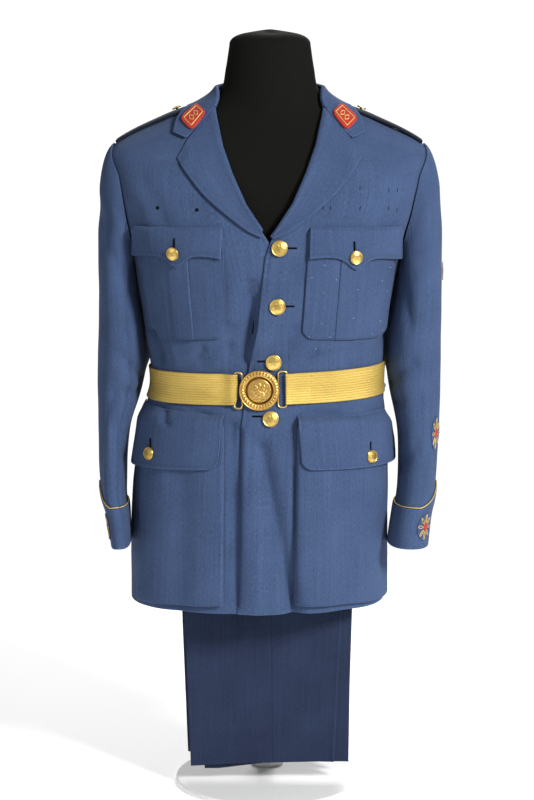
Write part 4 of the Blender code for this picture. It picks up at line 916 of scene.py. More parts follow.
def leg_section(half_width, seam, step):
    """(across, out) points round a folded leg: two rounded layers with a groove between them at each edge."""
    radius = LEG_THICKNESS / 4
    rim = []
    for centre, turns in ((-radius, np.linspace(-90, 60, 6)), (0.0, ()), (radius, np.linspace(-60, 90, 6))):
        if not len(turns):
            rim.append((half_width - radius - LEG_GROOVE, 0.0))
        for turn in turns:
            a = math.radians(turn)
            rim.append((half_width - radius + radius * math.cos(a), centre + radius * math.sin(a)))
    ends = LEG_FACE * half_width
    across = np.concatenate([
        np.linspace(ends, step + 0.0050, 8), step + NEAR_LINE, np.linspace(step - 0.0065, seam + 0.0065, 36),
        seam + NEAR_LINE, np.linspace(seam - 0.0065, -ends, 44),
    ])
    face = [(x, LEG_THICKNESS / 2) for x in across]
    return rim + face + [(-x, y) for x, y in reversed(rim)] + [(x, -y) for x, y in reversed(face)]


def leg_path(offset, front_z, back_z):
    """(y, z, turn, above the hem) along a leg: up the front, over the bar and down the back."""
    bend = BAR_RADIUS + offset
    near = np.array([0.0, 0.0006, 0.0016, 0.003])
    heights = np.concatenate([front_z + near, np.linspace(front_z + 0.006, BAR_Z, 84)])
    front = [(BAR_Y - bend, z, 0.0) for z in heights]
    over = [
        (BAR_Y - bend * math.cos(a), BAR_Z + bend * math.sin(a), a) for a in np.linspace(0, math.pi, 19)[1:]
    ]
    back = [(BAR_Y + bend, z, math.pi) for z in np.linspace(BAR_Z - 0.006, back_z, 36)]
    return front + over + back


def leg_relief(x, gone, half, across, seam_x, step_x):
    """How far the outer leg's face stands off: its seam, its crease's step, its hem and slack."""
    beyond_step = float(smooth((x - step_x) / 0.0012))
    below_hem = float(smooth((HEM_LINE - gone) / 0.0020))
    seam = -0.0008 * math.exp(-(((x - seam_x - 0.0006) / 0.0007) ** 2))
    seam += 0.0005 * float(smooth((seam_x - x) / 0.0012))
    crease = 0.0010 * math.exp(-(((x - step_x + 0.0016) / 0.0014) ** 2)) - 0.0022 * beyond_step
    hem = -0.0008 * math.exp(-(((gone - HEM_LINE - 0.0010) / 0.0010) ** 2)) + 0.0003 * below_hem
    slack = 0.0016 * math.sin(19 * x + 14 * gone) * math.sin(15 * gone - 9 * x + 1.0)
    slack += 0.0008 * math.sin(61 * x + 5 * gone + 0.7)
    return seam + crease + hem + slack * float(smooth((half - abs(across)) / 0.03))


def trouser_leg(name, node, offset, front_z, back_z, shift, low_edge, outer):
    """One folded leg, a rounded body whose side edges show its two layers."""
    path = leg_path(offset, front_z, back_z)
    length = np.cumsum([0.0] + [math.dist(a[:2], b[:2]) for a, b in zip(path, path[1:])])
    low = np.array(low_edge)
    rings, painted_shade_rows = [], []
    for (y, z, turn), far, gone in zip(path, length / length[-1], length):
        centre = np.interp(far, HANG[:, 0], HANG[:, 1]) + shift
        half = np.interp(far, HANG[:, 0], HANG[:, 2])
        hanging = turn == 0.0
        fade = float(smooth((0.56 - z) / 0.05)) if hanging else 0.0
        sway = 0.0035 * math.sin(math.pi * min(far / 0.46, 1.0)) if hanging else 0.0
        closed_end = math.sqrt(1 - (1 - min(gone / 0.0016, 1.0)) ** 2) * 0.6 + 0.4
        seam_x = SEAM_LOW + (SEAM_TOP - SEAM_LOW) * (z - front_z) / 0.2
        step_x = min(STEP_LOW + (STEP_TOP - STEP_LOW) * (z - front_z) / 0.2, 0.108)
        ring, painted_shade_row = [], []
        for across, out in leg_section(half, seam_x - centre, step_x - centre):
            x = centre + across
            body = out * closed_end
            if out > 0 and outer:
                body += leg_relief(x, gone, half, across, seam_x, step_x) * fade
            lift = np.interp(x, low[:, 0], low[:, 1]) * float(smooth(1 - gone / LOW_REACH)) * hanging
            draw = 0.0 if outer else DRAWN_IN * float(smooth(1 - gone / DRAWN_REACH)) * hanging
            drawn_x = x * (1 - draw) if x < 0 else x
            ring.append((drawn_x, y - math.cos(turn) * body - sway, z + lift + math.sin(turn) * body))
            # Painted shade: the colour is darkened in a line beside the seam, on the strip beyond the
            # crease's step and on the band below the hem line.
            dark = math.exp(-(((x - seam_x - 0.0008) / 0.0009) ** 2)) * 0.8
            dark += 0.55 * float(smooth((x - step_x) / 0.0012))
            dark += 0.35 * float(smooth((HEM_LINE - gone) / 0.0015))
            painted_shade_row.append(dark if out > 0 and outer and hanging else 0.0)
        rings.append(ring)
        painted_shade_rows.append(painted_shade_row)
    points = np.array(rings)
    rows, columns = points.shape[:2]
    lengths = steps_along(points, 1)
    ups = np.broadcast_to(length[:, None], lengths.shape)
    uv_grid = np.stack([lengths, ups], -1)
    faces, uv = [], []
    for i in range(rows - 1):
        for j in range(columns):
            k = (j + 1) % columns
            faces.append((i * columns + j, i * columns + k, (i + 1) * columns + k, (i + 1) * columns + j))
            last = uv_grid[:, k] if k else uv_grid[:, j] + np.array([0.002, 0.0])
            uv += [uv_grid[i, j], last[i], last[i + 1], uv_grid[i + 1, j]]
    for row, flip in ((0, True), (rows - 1, False)):
        face = [row * columns + j for j in range(columns)]
        faces.append(tuple(face[::-1] if flip else face))
        uv += [uv_grid[row, j] for j in (range(columns - 1, -1, -1) if flip else range(columns))]
    total = rows * columns
    facts = {"edge": np.full(total, 1.0), "groove": np.array(painted_shade_rows).ravel(), "hollow": np.zeros(total)}
    made = mesh_of(name, points.reshape(-1, 3), faces, TROUSER, np.array(uv), facts)
    return keep(made, node), float(2 * HANG[:, 2].mean()), float(length[-1])


Leg = namedtuple("Leg", "name node offset front_z back_z shift low_edge outer")
FRONT_OFFSET = LEG_THICKNESS * 1.5 + LEG_GAP + 0.0009
BACK_OFFSET = LEG_THICKNESS / 2 + 0.0006
LEGS = [
    Leg("trousers_front_leg", "trouser_leg_front", FRONT_OFFSET, 0.0335, 0.0400, 0.0, FRONT_LOW, True),
    Leg("trousers_back_leg", "trouser_leg_back", BACK_OFFSET, 0.0300, 0.0480, -0.0035, BACK_LOW, False),
]
for leg in LEGS:
    made, leg_width, leg_length = trouser_leg(*leg)


# The fronts and backs
for name, side in (("left", 1), ("right", -1)):
    panel, grain = front_panel(side)
    cloth(f"front_{name}_cloth", f"front_{name}", panel, TUNIC, "tunic_wool", "draped", ["form_body"],
          turned=side < 0, free="rb", groove=0.0065, grain=grain)
    panel, grain = back_panel(side)
    cloth(f"back_{name}_cloth", f"back_{name}", panel, TUNIC, "tunic_wool", "draped", ["form_body"],
          turned=side > 0, free="b", grain=grain)

# The collar, a stand against the neck that folds over into a fall
COLLAR_LIFT = 0.0073
STAND_LIFT = 0.0010
Fall = namedtuple("Fall", "name fold_angle fold_level edge_angle edge_level")
FOLD_RISE = 0.087
GORGE = Edge(1.0040, 0.0775)
NOTCH = Edge(0.9610, 0.1160)
COLLAR_POINT = Edge(0.9685, 0.1345)
NOTCH_SHARE = 0.70
NOTCH_FADE = 0.12


def place_of(edge):
    return [float(value) for value in locate(edge.x, edge.z)]


FALLS = [
    Fall("front_end", *place_of(GORGE), *place_of(COLLAR_POINT)),
    Fall("side_front", 24.0, 12.72, 12.0, 11.45),
    Fall("shoulder", 8.0, 13.00, 0.0, 11.62),
    Fall("side_back", -30.0, 13.05, -30.0, 11.45),
    Fall("back", -60.0, 13.08, -60.0, 11.15),
    Fall("middle", -90.0, 13.08, -90.0, 11.08),
]
FALL_TABLE = np.array([row[1:] for row in FALLS])


def fall_place(s, w):
    """(angle, level) on the fall: s runs from the front end to the back's middle, w from fold to edge."""
    row = splined(FALL_TABLE, np.asarray(s, float) * (len(FALLS) - 1))
    start, end = row[..., :2], row[..., 2:]
    notch = np.array(place_of(NOTCH))
    if w < NOTCH_SHARE:
        notched = start + (notch - start) * w / NOTCH_SHARE
    else:
        notched = notch + (end - notch) * (w - NOTCH_SHARE) / (1 - NOTCH_SHARE)
    near_end = np.clip(1 - np.asarray(s, float) / NOTCH_FADE, 0, 1)[..., None]
    return start + (end - start) * w + (notched - start - (end - start) * w) * near_end


def collar_grid():
    """The collar's path runs up the stand, over the fold and down the outside of the fall."""
    s = np.concatenate([[0.0, 0.002, 0.005, 0.009, 0.015], np.linspace(0.025, 1.0, 84)])
    fold = fall_place(s, 0.0)
    bottom = np.stack([fold[:, 0], neckline(np.maximum(fold[:, 0], 0)) + 0.05], axis=-1)
    rows = [(bottom + (fold - bottom) * share, STAND_LIFT) for share in np.linspace(0, 0.94, 9)]
    for turn in np.linspace(0, math.pi, 13):
        share = (1 - math.cos(turn)) / 2
        rise = np.array([0.0, FOLD_RISE * math.sin(turn)])
        rows.append((fold + rise, STAND_LIFT + (COLLAR_LIFT - STAND_LIFT) * share))
    shares = np.concatenate([np.linspace(0.04, 0.93, 26), [0.955, 0.975, 0.99, 1.0]])
    rows += [(fall_place(s, w), COLLAR_LIFT) for w in shares]
    place = np.array([row for row, _ in rows])
    lift = np.array([[lift] * len(s) for _, lift in rows])
    left = skin(place[..., 0], place[..., 1], lift, folded=False)
    right = skin(180 - place[..., 0], place[..., 1], lift, folded=False)
    return np.concatenate([right, left[:, -2::-1]], axis=1)


cloth("collar_cloth", "collar", collar_grid(), TUNIC, "tunic_wool", "folded",
      ["front_left_cloth", "back_left_cloth"], free="lrt", groove=0.0060)

LAPEL_EDGE = [
    Edge(0.8265, 0.006), Edge(0.8365, 0.029), Edge(0.858, 0.0585), Edge(0.8845, 0.090), Edge(0.9155, 0.1165),
    Edge(0.935, 0.1290),
]
LAPEL_NOTCH = Edge(0.9600, 0.1150)
GORGE_GAP = -0.0030
LAPEL_CURL = 0.0020
LAPEL_LIFT = LAYER + 0.0005


def lapel(side):
    """The turned-back part of a front: from under it, round its roll line and out to its edge."""
    roll = np.array(ROLL)
    edge = np.array(LAPEL_EDGE)
    t = spread(64, 0.2) if side > 0 else 0.05 + 0.95 * spread(64, 0.2)
    w = np.concatenate([np.linspace(0, 0.94, 34), [0.960, 0.976, 0.990, 1.0]])
    z_roll = roll[0, 0] + 0.002 + (GORGE.z - GORGE_GAP - roll[0, 0] - 0.002) * t
    start = np.stack([z_roll, np.interp(z_roll, roll[:, 0], roll[:, 1]) + ROLL_INSET * 0.8], axis=-1)[:, None]
    end = splined(edge, t * (len(edge) - 1))[:, None]
    notch = np.array(LAPEL_NOTCH)
    share = w[None, :, None]
    straight = start + (end - start) * share
    inner = start + (notch - start) * share / NOTCH_SHARE
    outer = notch + (end - notch) * (share - NOTCH_SHARE) / (1 - NOTCH_SHARE)
    bent = np.where(share < NOTCH_SHARE, inner, outer)
    place = straight + (bent - straight) * np.clip(1 - (1 - t) / 0.14, 0, 1)[:, None, None]
    way = end - start
    way = way / np.linalg.norm(way, axis=-1, keepdims=True)
    turns = np.linspace(math.pi, 0, 9)[:-1]
    radius = LAPEL_LIFT / 2
    wrap = start - way * (radius * np.sin(turns))[None, :, None]
    place = np.concatenate([wrap, place], axis=1)
    lift = np.concatenate([radius * (1 + np.cos(turns)), np.full(len(w), LAPEL_LIFT)])
    roll_swell = np.exp(-((w / 0.14) ** 2)) * smooth(w / 0.05)
    lift = lift + 0.0012 * np.concatenate([0 * turns, roll_swell])
    away = np.concatenate([0 * turns, smooth((w - 0.45) / 0.55)])
    curled = away[None] * (1 - smooth((t - 0.86) / 0.08))[:, None]
    return patch_on_front(side, side * place[..., 1], place[..., 0], lift[None] + LAPEL_CURL * curled)


for name, side in (("left", 1), ("right", -1)):
    cloth(f"lapel_{name}_cloth", f"lapel_{name}", lapel(side), TUNIC, "tunic_wool", "folded",
          [f"front_{name}_cloth"], turned=side > 0, free="rt", groove=0.0060)


# The pockets
Pocket = namedtuple("Pocket", "side z_top z_low top_in top_out low_in low_out")
CHEST_POCKETS = {
    "left": Pocket(1, 0.836, 0.686, 0.056, 0.180, 0.046, 0.166),
    "right": Pocket(-1, 0.836, 0.686, -0.065, -0.186, -0.059, -0.166),
}
HIP_POCKETS = {
    "left": Pocket(1, 0.560, 0.302, 0.040, 0.163, 0.037, 0.168),
    "right": Pocket(-1, 0.560, 0.302, -0.064, -0.177, -0.066, -0.188),
}
CHEST_CORNER = 0.015
HIP_CORNER = 0.004
POCKET_SAG = 0.0060
POUCH_EXTRA = 0.0010
PLEAT_RISE = 0.0013
PLEAT_AT = {"left": 0.372, "right": 0.425}
PLEAT_REACH = 0.22
BELLOWS_FRONT = 0.0060
BELLOWS_BACK = 0.0025


def pocket_places(pocket, across, up, corner):
    """(x, z) over a pocket's pouch, with its two lower corners rounded."""
    u, v = np.meshgrid(across, up)
    top = pocket.top_in + (pocket.top_out - pocket.top_in) * u
    low = pocket.low_in + (pocket.low_out - pocket.low_in) * u
    width = abs(pocket.low_out - pocket.low_in)
    from_edge = np.minimum(u, 1 - u) * width
    inside = np.clip(corner - from_edge, 0, corner)
    z_low = pocket.z_low - POCKET_SAG * u + corner - np.sqrt(corner**2 - inside**2)
    return low + (top - low) * v, z_low + (pocket.z_top - z_low) * v


def chest_pouch(pocket, pleat_at):
    near = pleat_at + np.array([-0.012, -0.007, -0.003, 0.0, 0.003, 0.007, 0.012, 0.02])
    across = np.unique(np.concatenate([spread(44, 0.12), near]))
    x, z = pocket_places(pocket, across, spread(44, 0.15), CHEST_CORNER)
    beside = across - pleat_at - 0.004
    pleat = PLEAT_RISE * smooth(beside / 0.005 + 0.5) * (1 - smooth((beside - PLEAT_REACH) / 0.06))
    groove = -0.0010 * np.exp(-(((across - pleat_at) / 0.005) ** 2))
    grid = patch_on_front(pocket.side, x, z, LAYER + POUCH_EXTRA + pleat)
    carve = np.broadcast_to(CLOTH + groove, grid.shape[:2])
    return grid, carve


def hip_pouch(pocket):
    across, up = spread(48, 0.13), spread(84, 0.25)
    x, z = pocket_places(pocket, across, up, HIP_CORNER)
    u, v = np.meshgrid(across, up)
    width, height = 0.13, 0.25
    bulge = BELLOWS_FRONT + (BELLOWS_BACK - BELLOWS_FRONT) * u
    from_edge = np.minimum(np.minimum(u, 1 - u) * width, v * height)
    rise = np.sqrt(1 - (1 - np.clip(from_edge / 0.0024, 0, 1)) ** 2)
    slack = 0.0012 * np.sin(math.pi * u) * np.sin(2.2 * v + 0.3)
    return patch_on_front(pocket.side, x, z, LAYER + POUCH_EXTRA + bulge * rise + slack)


Scallop = namedtuple("Scallop", "share rise")
SCALLOP = np.array([
    Scallop(0.0, 0.0), Scallop(0.1, 0.0018), Scallop(0.2, 0.0030), Scallop(0.28, 0.0028),
    Scallop(0.34, 0.0010),
    Scallop(0.39, -0.0026), Scallop(0.43, -0.0070), Scallop(0.47, -0.0108), Scallop(0.5, -0.0128),
    Scallop(0.53, -0.0108), Scallop(0.57, -0.0070), Scallop(0.61, -0.0026), Scallop(0.66, 0.0010),
    Scallop(0.72, 0.0028), Scallop(0.8, 0.0030), Scallop(0.9, 0.0018), Scallop(1.0, 0.0),
])
Flap = namedtuple("Flap", "side z_top_in z_top_out z_low_in z_low_out top_in top_out low_in low_out")
CHEST_FLAPS = {
    "left": Flap(1, 0.842, 0.842, 0.799, 0.795, 0.0570, 0.1835, 0.0550, 0.1815),
    "right": Flap(-1, 0.842, 0.842, 0.799, 0.800, -0.0650, -0.1890, -0.0665, -0.1875),
}
HIP_FLAPS = {
    "left": Flap(1, 0.575, 0.573, 0.500, 0.496, 0.0390, 0.1640, 0.0430, 0.1760),
    "right": Flap(-1, 0.575, 0.580, 0.500, 0.492, -0.0630, -0.1780, -0.0690, -0.1890),
}
FLAP_CORNER = 0.017
FLAP_OUTER_CORNER = 0.004
FLAP_EXTRA = 0.0006
FLAP_CURL = 0.0012


def flap_grid(flap, across, up, low_rise, lift):
    """A flap's inner face: low_rise moves its lower edge up or down, lift is its height over the loft."""
    u, v = np.meshgrid(across, up)
    top_x = flap.top_in + (flap.top_out - flap.top_in) * u
    low_x = flap.low_in + (flap.low_out - flap.low_in) * u
    top_z = flap.z_top_in + (flap.z_top_out - flap.z_top_in) * u
    low_z = flap.z_low_in + (flap.z_low_out - flap.z_low_in) * u + low_rise(u)
    x = low_x + (top_x - low_x) * v
    z = low_z + (top_z - low_z) * v
    return patch_on_front(flap.side, x, z, lift(u, v))


def curl(u, v):
    """A flap's free corners stand off a little."""
    return FLAP_CURL * smooth(1 - v / 0.5) * (0.35 + 0.65 * np.abs(2 * u - 1) ** 3)


def chest_flap(flap):
    full = 2 * LAYER + POUCH_EXTRA + PLEAT_RISE + FLAP_EXTRA
    return flap_grid(
        flap, spread(72, 0.126), spread(26, 0.045),
        lambda u: splined(SCALLOP[:, 1:], np.interp(u, SCALLOP[:, 0], np.arange(len(SCALLOP))))[..., 0],
        lambda u, v: LAYER + (full - LAYER) * smooth((1 - v) / 0.13) + curl(u, v),
    )


def hip_flap(flap):
    width = abs(flap.low_out - flap.low_in)

    def rounded(u):
        corner = np.where(u < 0.5, FLAP_CORNER, FLAP_OUTER_CORNER)
        inside = np.clip(corner - np.minimum(u, 1 - u) * width, 0, corner)
        return corner - np.sqrt(corner**2 - inside**2)

    def lift(u, v):
        bulge = BELLOWS_FRONT + (BELLOWS_BACK - BELLOWS_FRONT) * u + 0.0012
        full = 2 * LAYER + POUCH_EXTRA + FLAP_EXTRA + bulge
        return LAYER + (full - LAYER) * smooth((1 - v) / (0.12 + 0.20 * u**3)) + curl(u, v)

    return flap_grid(flap, spread(60, 0.13), spread(36, 0.08), rounded, lift)


for name, side in (("left", 1), ("right", -1)):
    rests = [f"front_{name}_cloth"]
    facing = dict(turned=side > 0)
    pouch, carved = chest_pouch(CHEST_POCKETS[name], PLEAT_AT[name])
    cloth(f"chest_pocket_{name}_cloth", f"chest_pocket_{name}", pouch, TUNIC, "tunic_wool", "laid", rests,
          thickness=carved, free="lrb", groove=0.0020, **facing)
    cloth(f"hip_pocket_{name}_cloth", f"hip_pocket_{name}", hip_pouch(HIP_POCKETS[name]), TUNIC, "tunic_wool",
          "laid", rests, free="lrb", groove=0.0020, **facing)
    cloth(f"chest_flap_{name}_cloth", f"chest_flap_{name}", chest_flap(CHEST_FLAPS[name]), TUNIC,
          "tunic_wool", "hung", [f"chest_pocket_{name}_cloth"], groove=0.0058, **facing)
    cloth(f"hip_flap_{name}_cloth", f"hip_flap_{name}", hip_flap(HIP_FLAPS[name]), TUNIC, "tunic_wool",
          "hung", [f"hip_pocket_{name}_cloth"], groove=0.0058, **facing)

# The sleeves
Station = namedtuple("Station", "name z middle_y half_depth left_in left_out right_in right_out")
SLEEVE = [
    Station("end", 0.380, -0.058, 0.0545, 0.1750, 0.2285, 0.2035, 0.2265),
    Station("cuff", 0.422, -0.047, 0.0550, 0.1820, 0.2340, 0.2055, 0.2340),
    Station("lower", 0.460, -0.033, 0.0570, 0.1880, 0.2430, 0.2085, 0.2455),
    Station("forearm", 0.540, -0.012, 0.0590, 0.1880, 0.2485, 0.2035, 0.2495),
    Station("elbow", 0.612, 0.002, 0.0630, 0.1745, 0.2515, 0.1835, 0.2510),
    Station("above_elbow", 0.680, 0.005, 0.0670, 0.1745, 0.2510, 0.1830, 0.2492),
    Station("upper", 0.740, 0.003, 0.0700, 0.1850, 0.2512, 0.1935, 0.2475),
]
SLEEVE_TABLE = np.array([row[1:] for row in SLEEVE])
LAST_STATION = len(SLEEVE) - 1
SLEEVE_POWER = 2.3
FRONT_SEAM = 118.0
BACK_SEAM = 236.0
SLEEVE_SEAM = 0.12
BACK_FULL = 224.0
BACK_FULL_WIDTH = 26.0
FULLNESS = 0.0180
SLEEVE_LAP = 0.05
SLEEVE_LAP_ANGLE = 1.2

# Troughs and ridges of the sleeves, between two points given by the angle round the sleeve and z
SleeveFold = namedtuple("SleeveFold", "side phi_low z_low phi_high z_high width depth")
SLEEVE_FOLDS = [
    SleeveFold(-1, 100, 0.648, 168, 0.612, 0.0110, -0.0054),
    SleeveFold(-1, 84, 0.596, 160, 0.600, 0.0110, -0.0051),
    SleeveFold(-1, 96, 0.545, 160, 0.500, 0.0120, -0.0042),
    SleeveFold(-1, 92, 0.622, 150, 0.606, 0.0080, 0.0021),
    SleeveFold(-1, 112, 0.690, 150, 0.780, 0.0130, -0.0045),
    SleeveFold(-1, 60, 0.812, 112, 0.776, 0.0160, -0.0033),
    SleeveFold(-1, 119, 0.545, 121, 0.700, 0.0070, -0.0040),
    SleeveFold(-1, 118, 0.430, 126, 0.560, 0.0090, -0.0027),
    SleeveFold(-1, 20, 0.862, 64, 0.842, 0.0170, -0.0039),
    SleeveFold(-1, 40, 0.470, 70, 0.580, 0.0160, -0.0027),
    SleeveFold(-1, 250, 0.640, 320, 0.600, 0.0140, -0.0045),
    SleeveFold(-1, 240, 0.560, 300, 0.540, 0.0140, -0.0036),
    SleeveFold(1, 96, 0.640, 165, 0.606, 0.0110, -0.0051),
    SleeveFold(1, 88, 0.590, 160, 0.580, 0.0110, -0.0045),
    SleeveFold(1, 100, 0.520, 160, 0.490, 0.0120, -0.0039),
    SleeveFold(1, 108, 0.700, 150, 0.790, 0.0130, -0.0045),
    SleeveFold(1, 62, 0.806, 108, 0.770, 0.0160, -0.0030),
    SleeveFold(1, 24, 0.868, 60, 0.850, 0.0170, -0.0027),
    SleeveFold(1, 36, 0.480, 64, 0.600, 0.0160, -0.0027),
    SleeveFold(1, 245, 0.640, 315, 0.606, 0.0140, -0.0045),
    SleeveFold(1, 250, 0.540, 310, 0.560, 0.0140, -0.0033),
]
METRES_A_DEGREE = 0.00095


def armhole_point(side, phi):
    """The armhole's cut, phi round from the shoulder's end (0) by the front (90) to the armpit (180)."""
    a = np.radians(phi)
    level = ARMHOLE_MIDDLE + (ARMHOLE_HALF + SLEEVE_LAP) * np.cos(a)
    angle = (ARMHOLE_REACH + SLEEVE_LAP_ANGLE) * power(np.sin(a), 0.8)
    lift = CLOTH + SEAM_GAP + CLOTH * (1 - np.cos(a)) / 2
    return skin(angle if side > 0 else 180 - angle, level, lift, folded=False)


def sleeve_base(side, phi, s):
    """Points of a sleeve's inner face: phi is round it from the outer side by the front, s is up it."""
    phi, s = np.broadcast_arrays(np.asarray(phi, float), np.asarray(s, float))
    row = splined(SLEEVE_TABLE, np.minimum(s, LAST_STATION))
    z, y, depth = row[..., 0], row[..., 1], row[..., 2]
    near, far = (row[..., 3], row[..., 4]) if side > 0 else (row[..., 5], row[..., 6])
    near, far, depth = near + CLOTH, far - CLOTH, depth - CLOTH
    a = np.radians(phi)
    x = (near + far) / 2 + (far - near) / 2 * power(np.cos(a), 2 / SLEEVE_POWER)
    ring = np.stack([side * x, y - depth * power(np.sin(a), 2 / SLEEVE_POWER), z], axis=-1)
    t = np.clip(s - LAST_STATION, 0, 1)[..., None]
    hole = armhole_point(side, phi)
    drop = np.abs(hole[..., 2] - ring[..., 2])
    up = np.stack([0 * drop, 0 * drop, 1.15 * drop + 0.01], axis=-1)
    inward = np.stack([-side * 0.04 * (1 + np.cos(a)), 0 * drop, 0.03 + 0.03 * np.cos(a)], axis=-1)
    filled = np.exp(-(((phi % 360 - BACK_FULL) / BACK_FULL_WIDTH) ** 2))
    filled = filled * smooth((z - 0.600) / 0.06) * smooth((0.86 - z) / 0.05)
    ring[..., 0] -= side * FULLNESS * filled
    h00, h10 = 2 * t**3 - 3 * t**2 + 1, t**3 - 2 * t**2 + t
    h01, h11 = 3 * t**2 - 2 * t**3, t**3 - t**2
    return h00 * ring + h10 * up + h01 * hole + h11 * inward


def sleeve_depth(side, phi, points, s):
    """How far a sleeve's folds move it out; its head and its end lie smooth."""
    total = np.zeros(points.shape[:-1])
    z = points[..., 2]
    for fold in SLEEVE_FOLDS:
        if fold.side != side:
            continue
        start = np.array([0.0, fold.z_low])
        way = np.array([(fold.phi_high - fold.phi_low) * METRES_A_DEGREE, fold.z_high - fold.z_low])
        round_it = ((phi - fold.phi_low + 180) % 360 - 180) * METRES_A_DEGREE
        offset = np.stack([round_it, z], axis=-1) - start
        t = (offset @ way) / (way @ way)
        near = offset - np.clip(t, 0, 1)[..., None] * way
        total += fold.depth * np.exp(-((np.linalg.norm(near, axis=-1) / fold.width) ** 2))
    return (total + ripple(points)) * smooth((LAST_STATION + 0.97 - s) / 0.25)


def sleeve_skin(side, phi, s, lift=0.0):
    def surface(u, v):
        return sleeve_base(side, u, v)

    phi, s = np.broadcast_arrays(np.asarray(phi, float), np.asarray(s, float))
    inner = np.clip(s, 0.03, LAST_STATION + 0.97)
    out = normals(surface, phi, inner, 1.0, 0.02) * side
    points = sleeve_base(side, phi, s)
    return points + out * np.asarray(lift + sleeve_depth(side, phi, points, s))[..., None]


def station_at(side, phi, z):
    """How far up a sleeve's line at phi the height z lies."""
    phi, z = np.broadcast_arrays(np.asarray(phi, float), np.asarray(z, float))
    low, high = np.zeros(z.shape), np.full(z.shape, LAST_STATION + 1.0)
    for _ in range(30):
        middle = (low + high) / 2
        under = sleeve_base(side, phi, middle)[..., 2] < z
        low, high = np.where(under, middle, low), np.where(under, high, middle)
    return (low + high) / 2


def sleeve_strip(side, first, last, columns, length):
    width = length * spread(columns, length)
    phi = first + SLEEVE_SEAM + (last - first - 2 * SLEEVE_SEAM) * width / length
    end = np.array([0.0, 0.012, 0.03, 0.06])
    top = LAST_STATION + 1 - np.array([0.03, 0.016, 0.007, 0.0])
    head = np.linspace(LAST_STATION + 0.03, top[0] - 0.03, 40)
    s = np.concatenate([end, np.linspace(0.1, LAST_STATION, 96), head, top])
    return sleeve_skin(side, phi[None, :], s[:, None])


CUFF_LOW = 0.4345
CUFF_PEAK = 0.4640
CUFF_PEAK_WIDTH = 80.0
CUFF_DROP = 0.0010
PIPING_RADIUS = 0.0009
PIPING_GAP = 0.0008
CUFF_EXTRA = 0.0003


def cuff_top(phi):
    """Height of the cuff's upper edge: level, with a point that rises on the outer side."""
    away = np.abs((np.asarray(phi, float) + 180) % 360 - 180)
    return CUFF_LOW + (CUFF_PEAK - CUFF_LOW) * np.clip(1 - away / CUFF_PEAK_WIDTH, 0, 1) ** 1.2


def cuff_grid(side):
    phi = np.arange(0, 360, 3.0)
    top = station_at(side, phi, cuff_top(phi))
    share = spread(22, 0.06)[:, None]
    points = sleeve_skin(side, phi[None, :], top * share, LAYER + CUFF_EXTRA)
    points[:, :, 2] -= CUFF_DROP * (1 - share)
    return points


def piping_points(side):
    phi = np.arange(0, 360, 1.0)
    s = station_at(side, phi, cuff_top(phi) + PIPING_RADIUS + 0.0007)
    return sleeve_skin(side, phi, s, CLOTH + PIPING_GAP + PIPING_RADIUS)


for name, side in (("left", 1), ("right", -1)):
    rests = ["form_body", f"front_{name}_cloth"]
    facing = dict(turned=side < 0)
    top_strip = sleeve_strip(side, BACK_SEAM - 360, FRONT_SEAM, 58, 0.24)
    under_strip = sleeve_strip(side, FRONT_SEAM, BACK_SEAM, 30, 0.12)
    cloth(f"sleeve_top_{name}_cloth", f"sleeve_top_{name}", top_strip, TUNIC, "tunic_wool", "hung", rests,
          free="b", **facing)
    cloth(f"sleeve_under_{name}_cloth", f"sleeve_under_{name}", under_strip, TUNIC, "tunic_wool", "hung",
          rests, free="b", **facing)
    cloth(f"cuff_{name}_cloth", f"cuff_{name}", cuff_grid(side), TUNIC, "tunic_wool", "laid",
          [f"sleeve_top_{name}_cloth"], ring=True, **facing)
    cord = dict(points=piping_points(side), radius=PIPING_RADIUS, reference=(0, 0, 1), sides=10, closed=True,
                strands=2, pitch=0.0036)
    keep(tubes(f"piping_{name}_cord", [cord], CORD), f"piping_{name}")


# Round pieces that sit on the cloth
def relief(name, radius, top, back, finish, seat, out, steps=64, rows=26, up=(0.0, 0.0, 1.0)):
    """A round piece whose height over its seat follows top(share of radius, angle), with a flat back."""
    out = np.asarray(out, float)
    right = np.cross(np.asarray(up), out)
    right /= np.linalg.norm(right)
    above = np.cross(out, right)
    shares = np.sin(np.linspace(0, math.pi / 2, rows + 1))[1:]
    turn = np.arange(steps) * 2 * math.pi / steps
    share, angle = np.meshgrid(shares, turn, indexing="ij")
    height, hollow = top(share, angle)
    away = share * radius
    local = np.stack([away * np.cos(angle), away * np.sin(angle), height], -1).reshape(-1, 3)
    centre, dark = top(np.array([1e-4]), np.array([0.0]))
    ring = np.stack([radius * np.cos(turn), radius * np.sin(turn)], -1)
    rim = [np.column_stack([ring * scale, np.full(steps, z)]) for scale, z in back]
    floor = np.array([[0.0, 0.0, back[-1][1]]])
    local = np.concatenate([local, [[0.0, 0.0, centre[0]]]] + rim + [floor])
    faces = []
    peak = rows * steps
    for j in range(steps):
        k = (j + 1) % steps
        faces.append((peak, j, k))
        for i in range(rows - 1):
            faces.append((i * steps + j, (i + 1) * steps + j, (i + 1) * steps + k, i * steps + k))
        rings = [(rows - 1) * steps] + [peak + 1 + index * steps for index in range(len(back))]
        for a, b in zip(rings, rings[1:]):
            faces.append((a + j, b + j, b + k, a + k))
        faces.append((rings[-1] + j, len(local) - 1, rings[-1] + k))
    placed = np.asarray(seat) + local[:, :1] * right + local[:, 1:2] * above + local[:, 2:] * out
    tail = np.zeros(len(local) - peak - 1)
    facts = {"hollow": np.concatenate([hollow.ravel(), dark, tail])}
    return mesh_of(name, placed, faces, finish, None, facts)


def rosette(share, angle, petals, reach, height):
    """A generic petalled relief and how dark it lies between its petals."""
    petal = np.abs(np.cos(petals * angle / 2))
    limit = reach * (0.55 + 0.45 * petal)
    body = smooth((limit - share) / (0.22 * reach))
    return height * body * (0.6 + 0.4 * petal), body * (1 - petal)


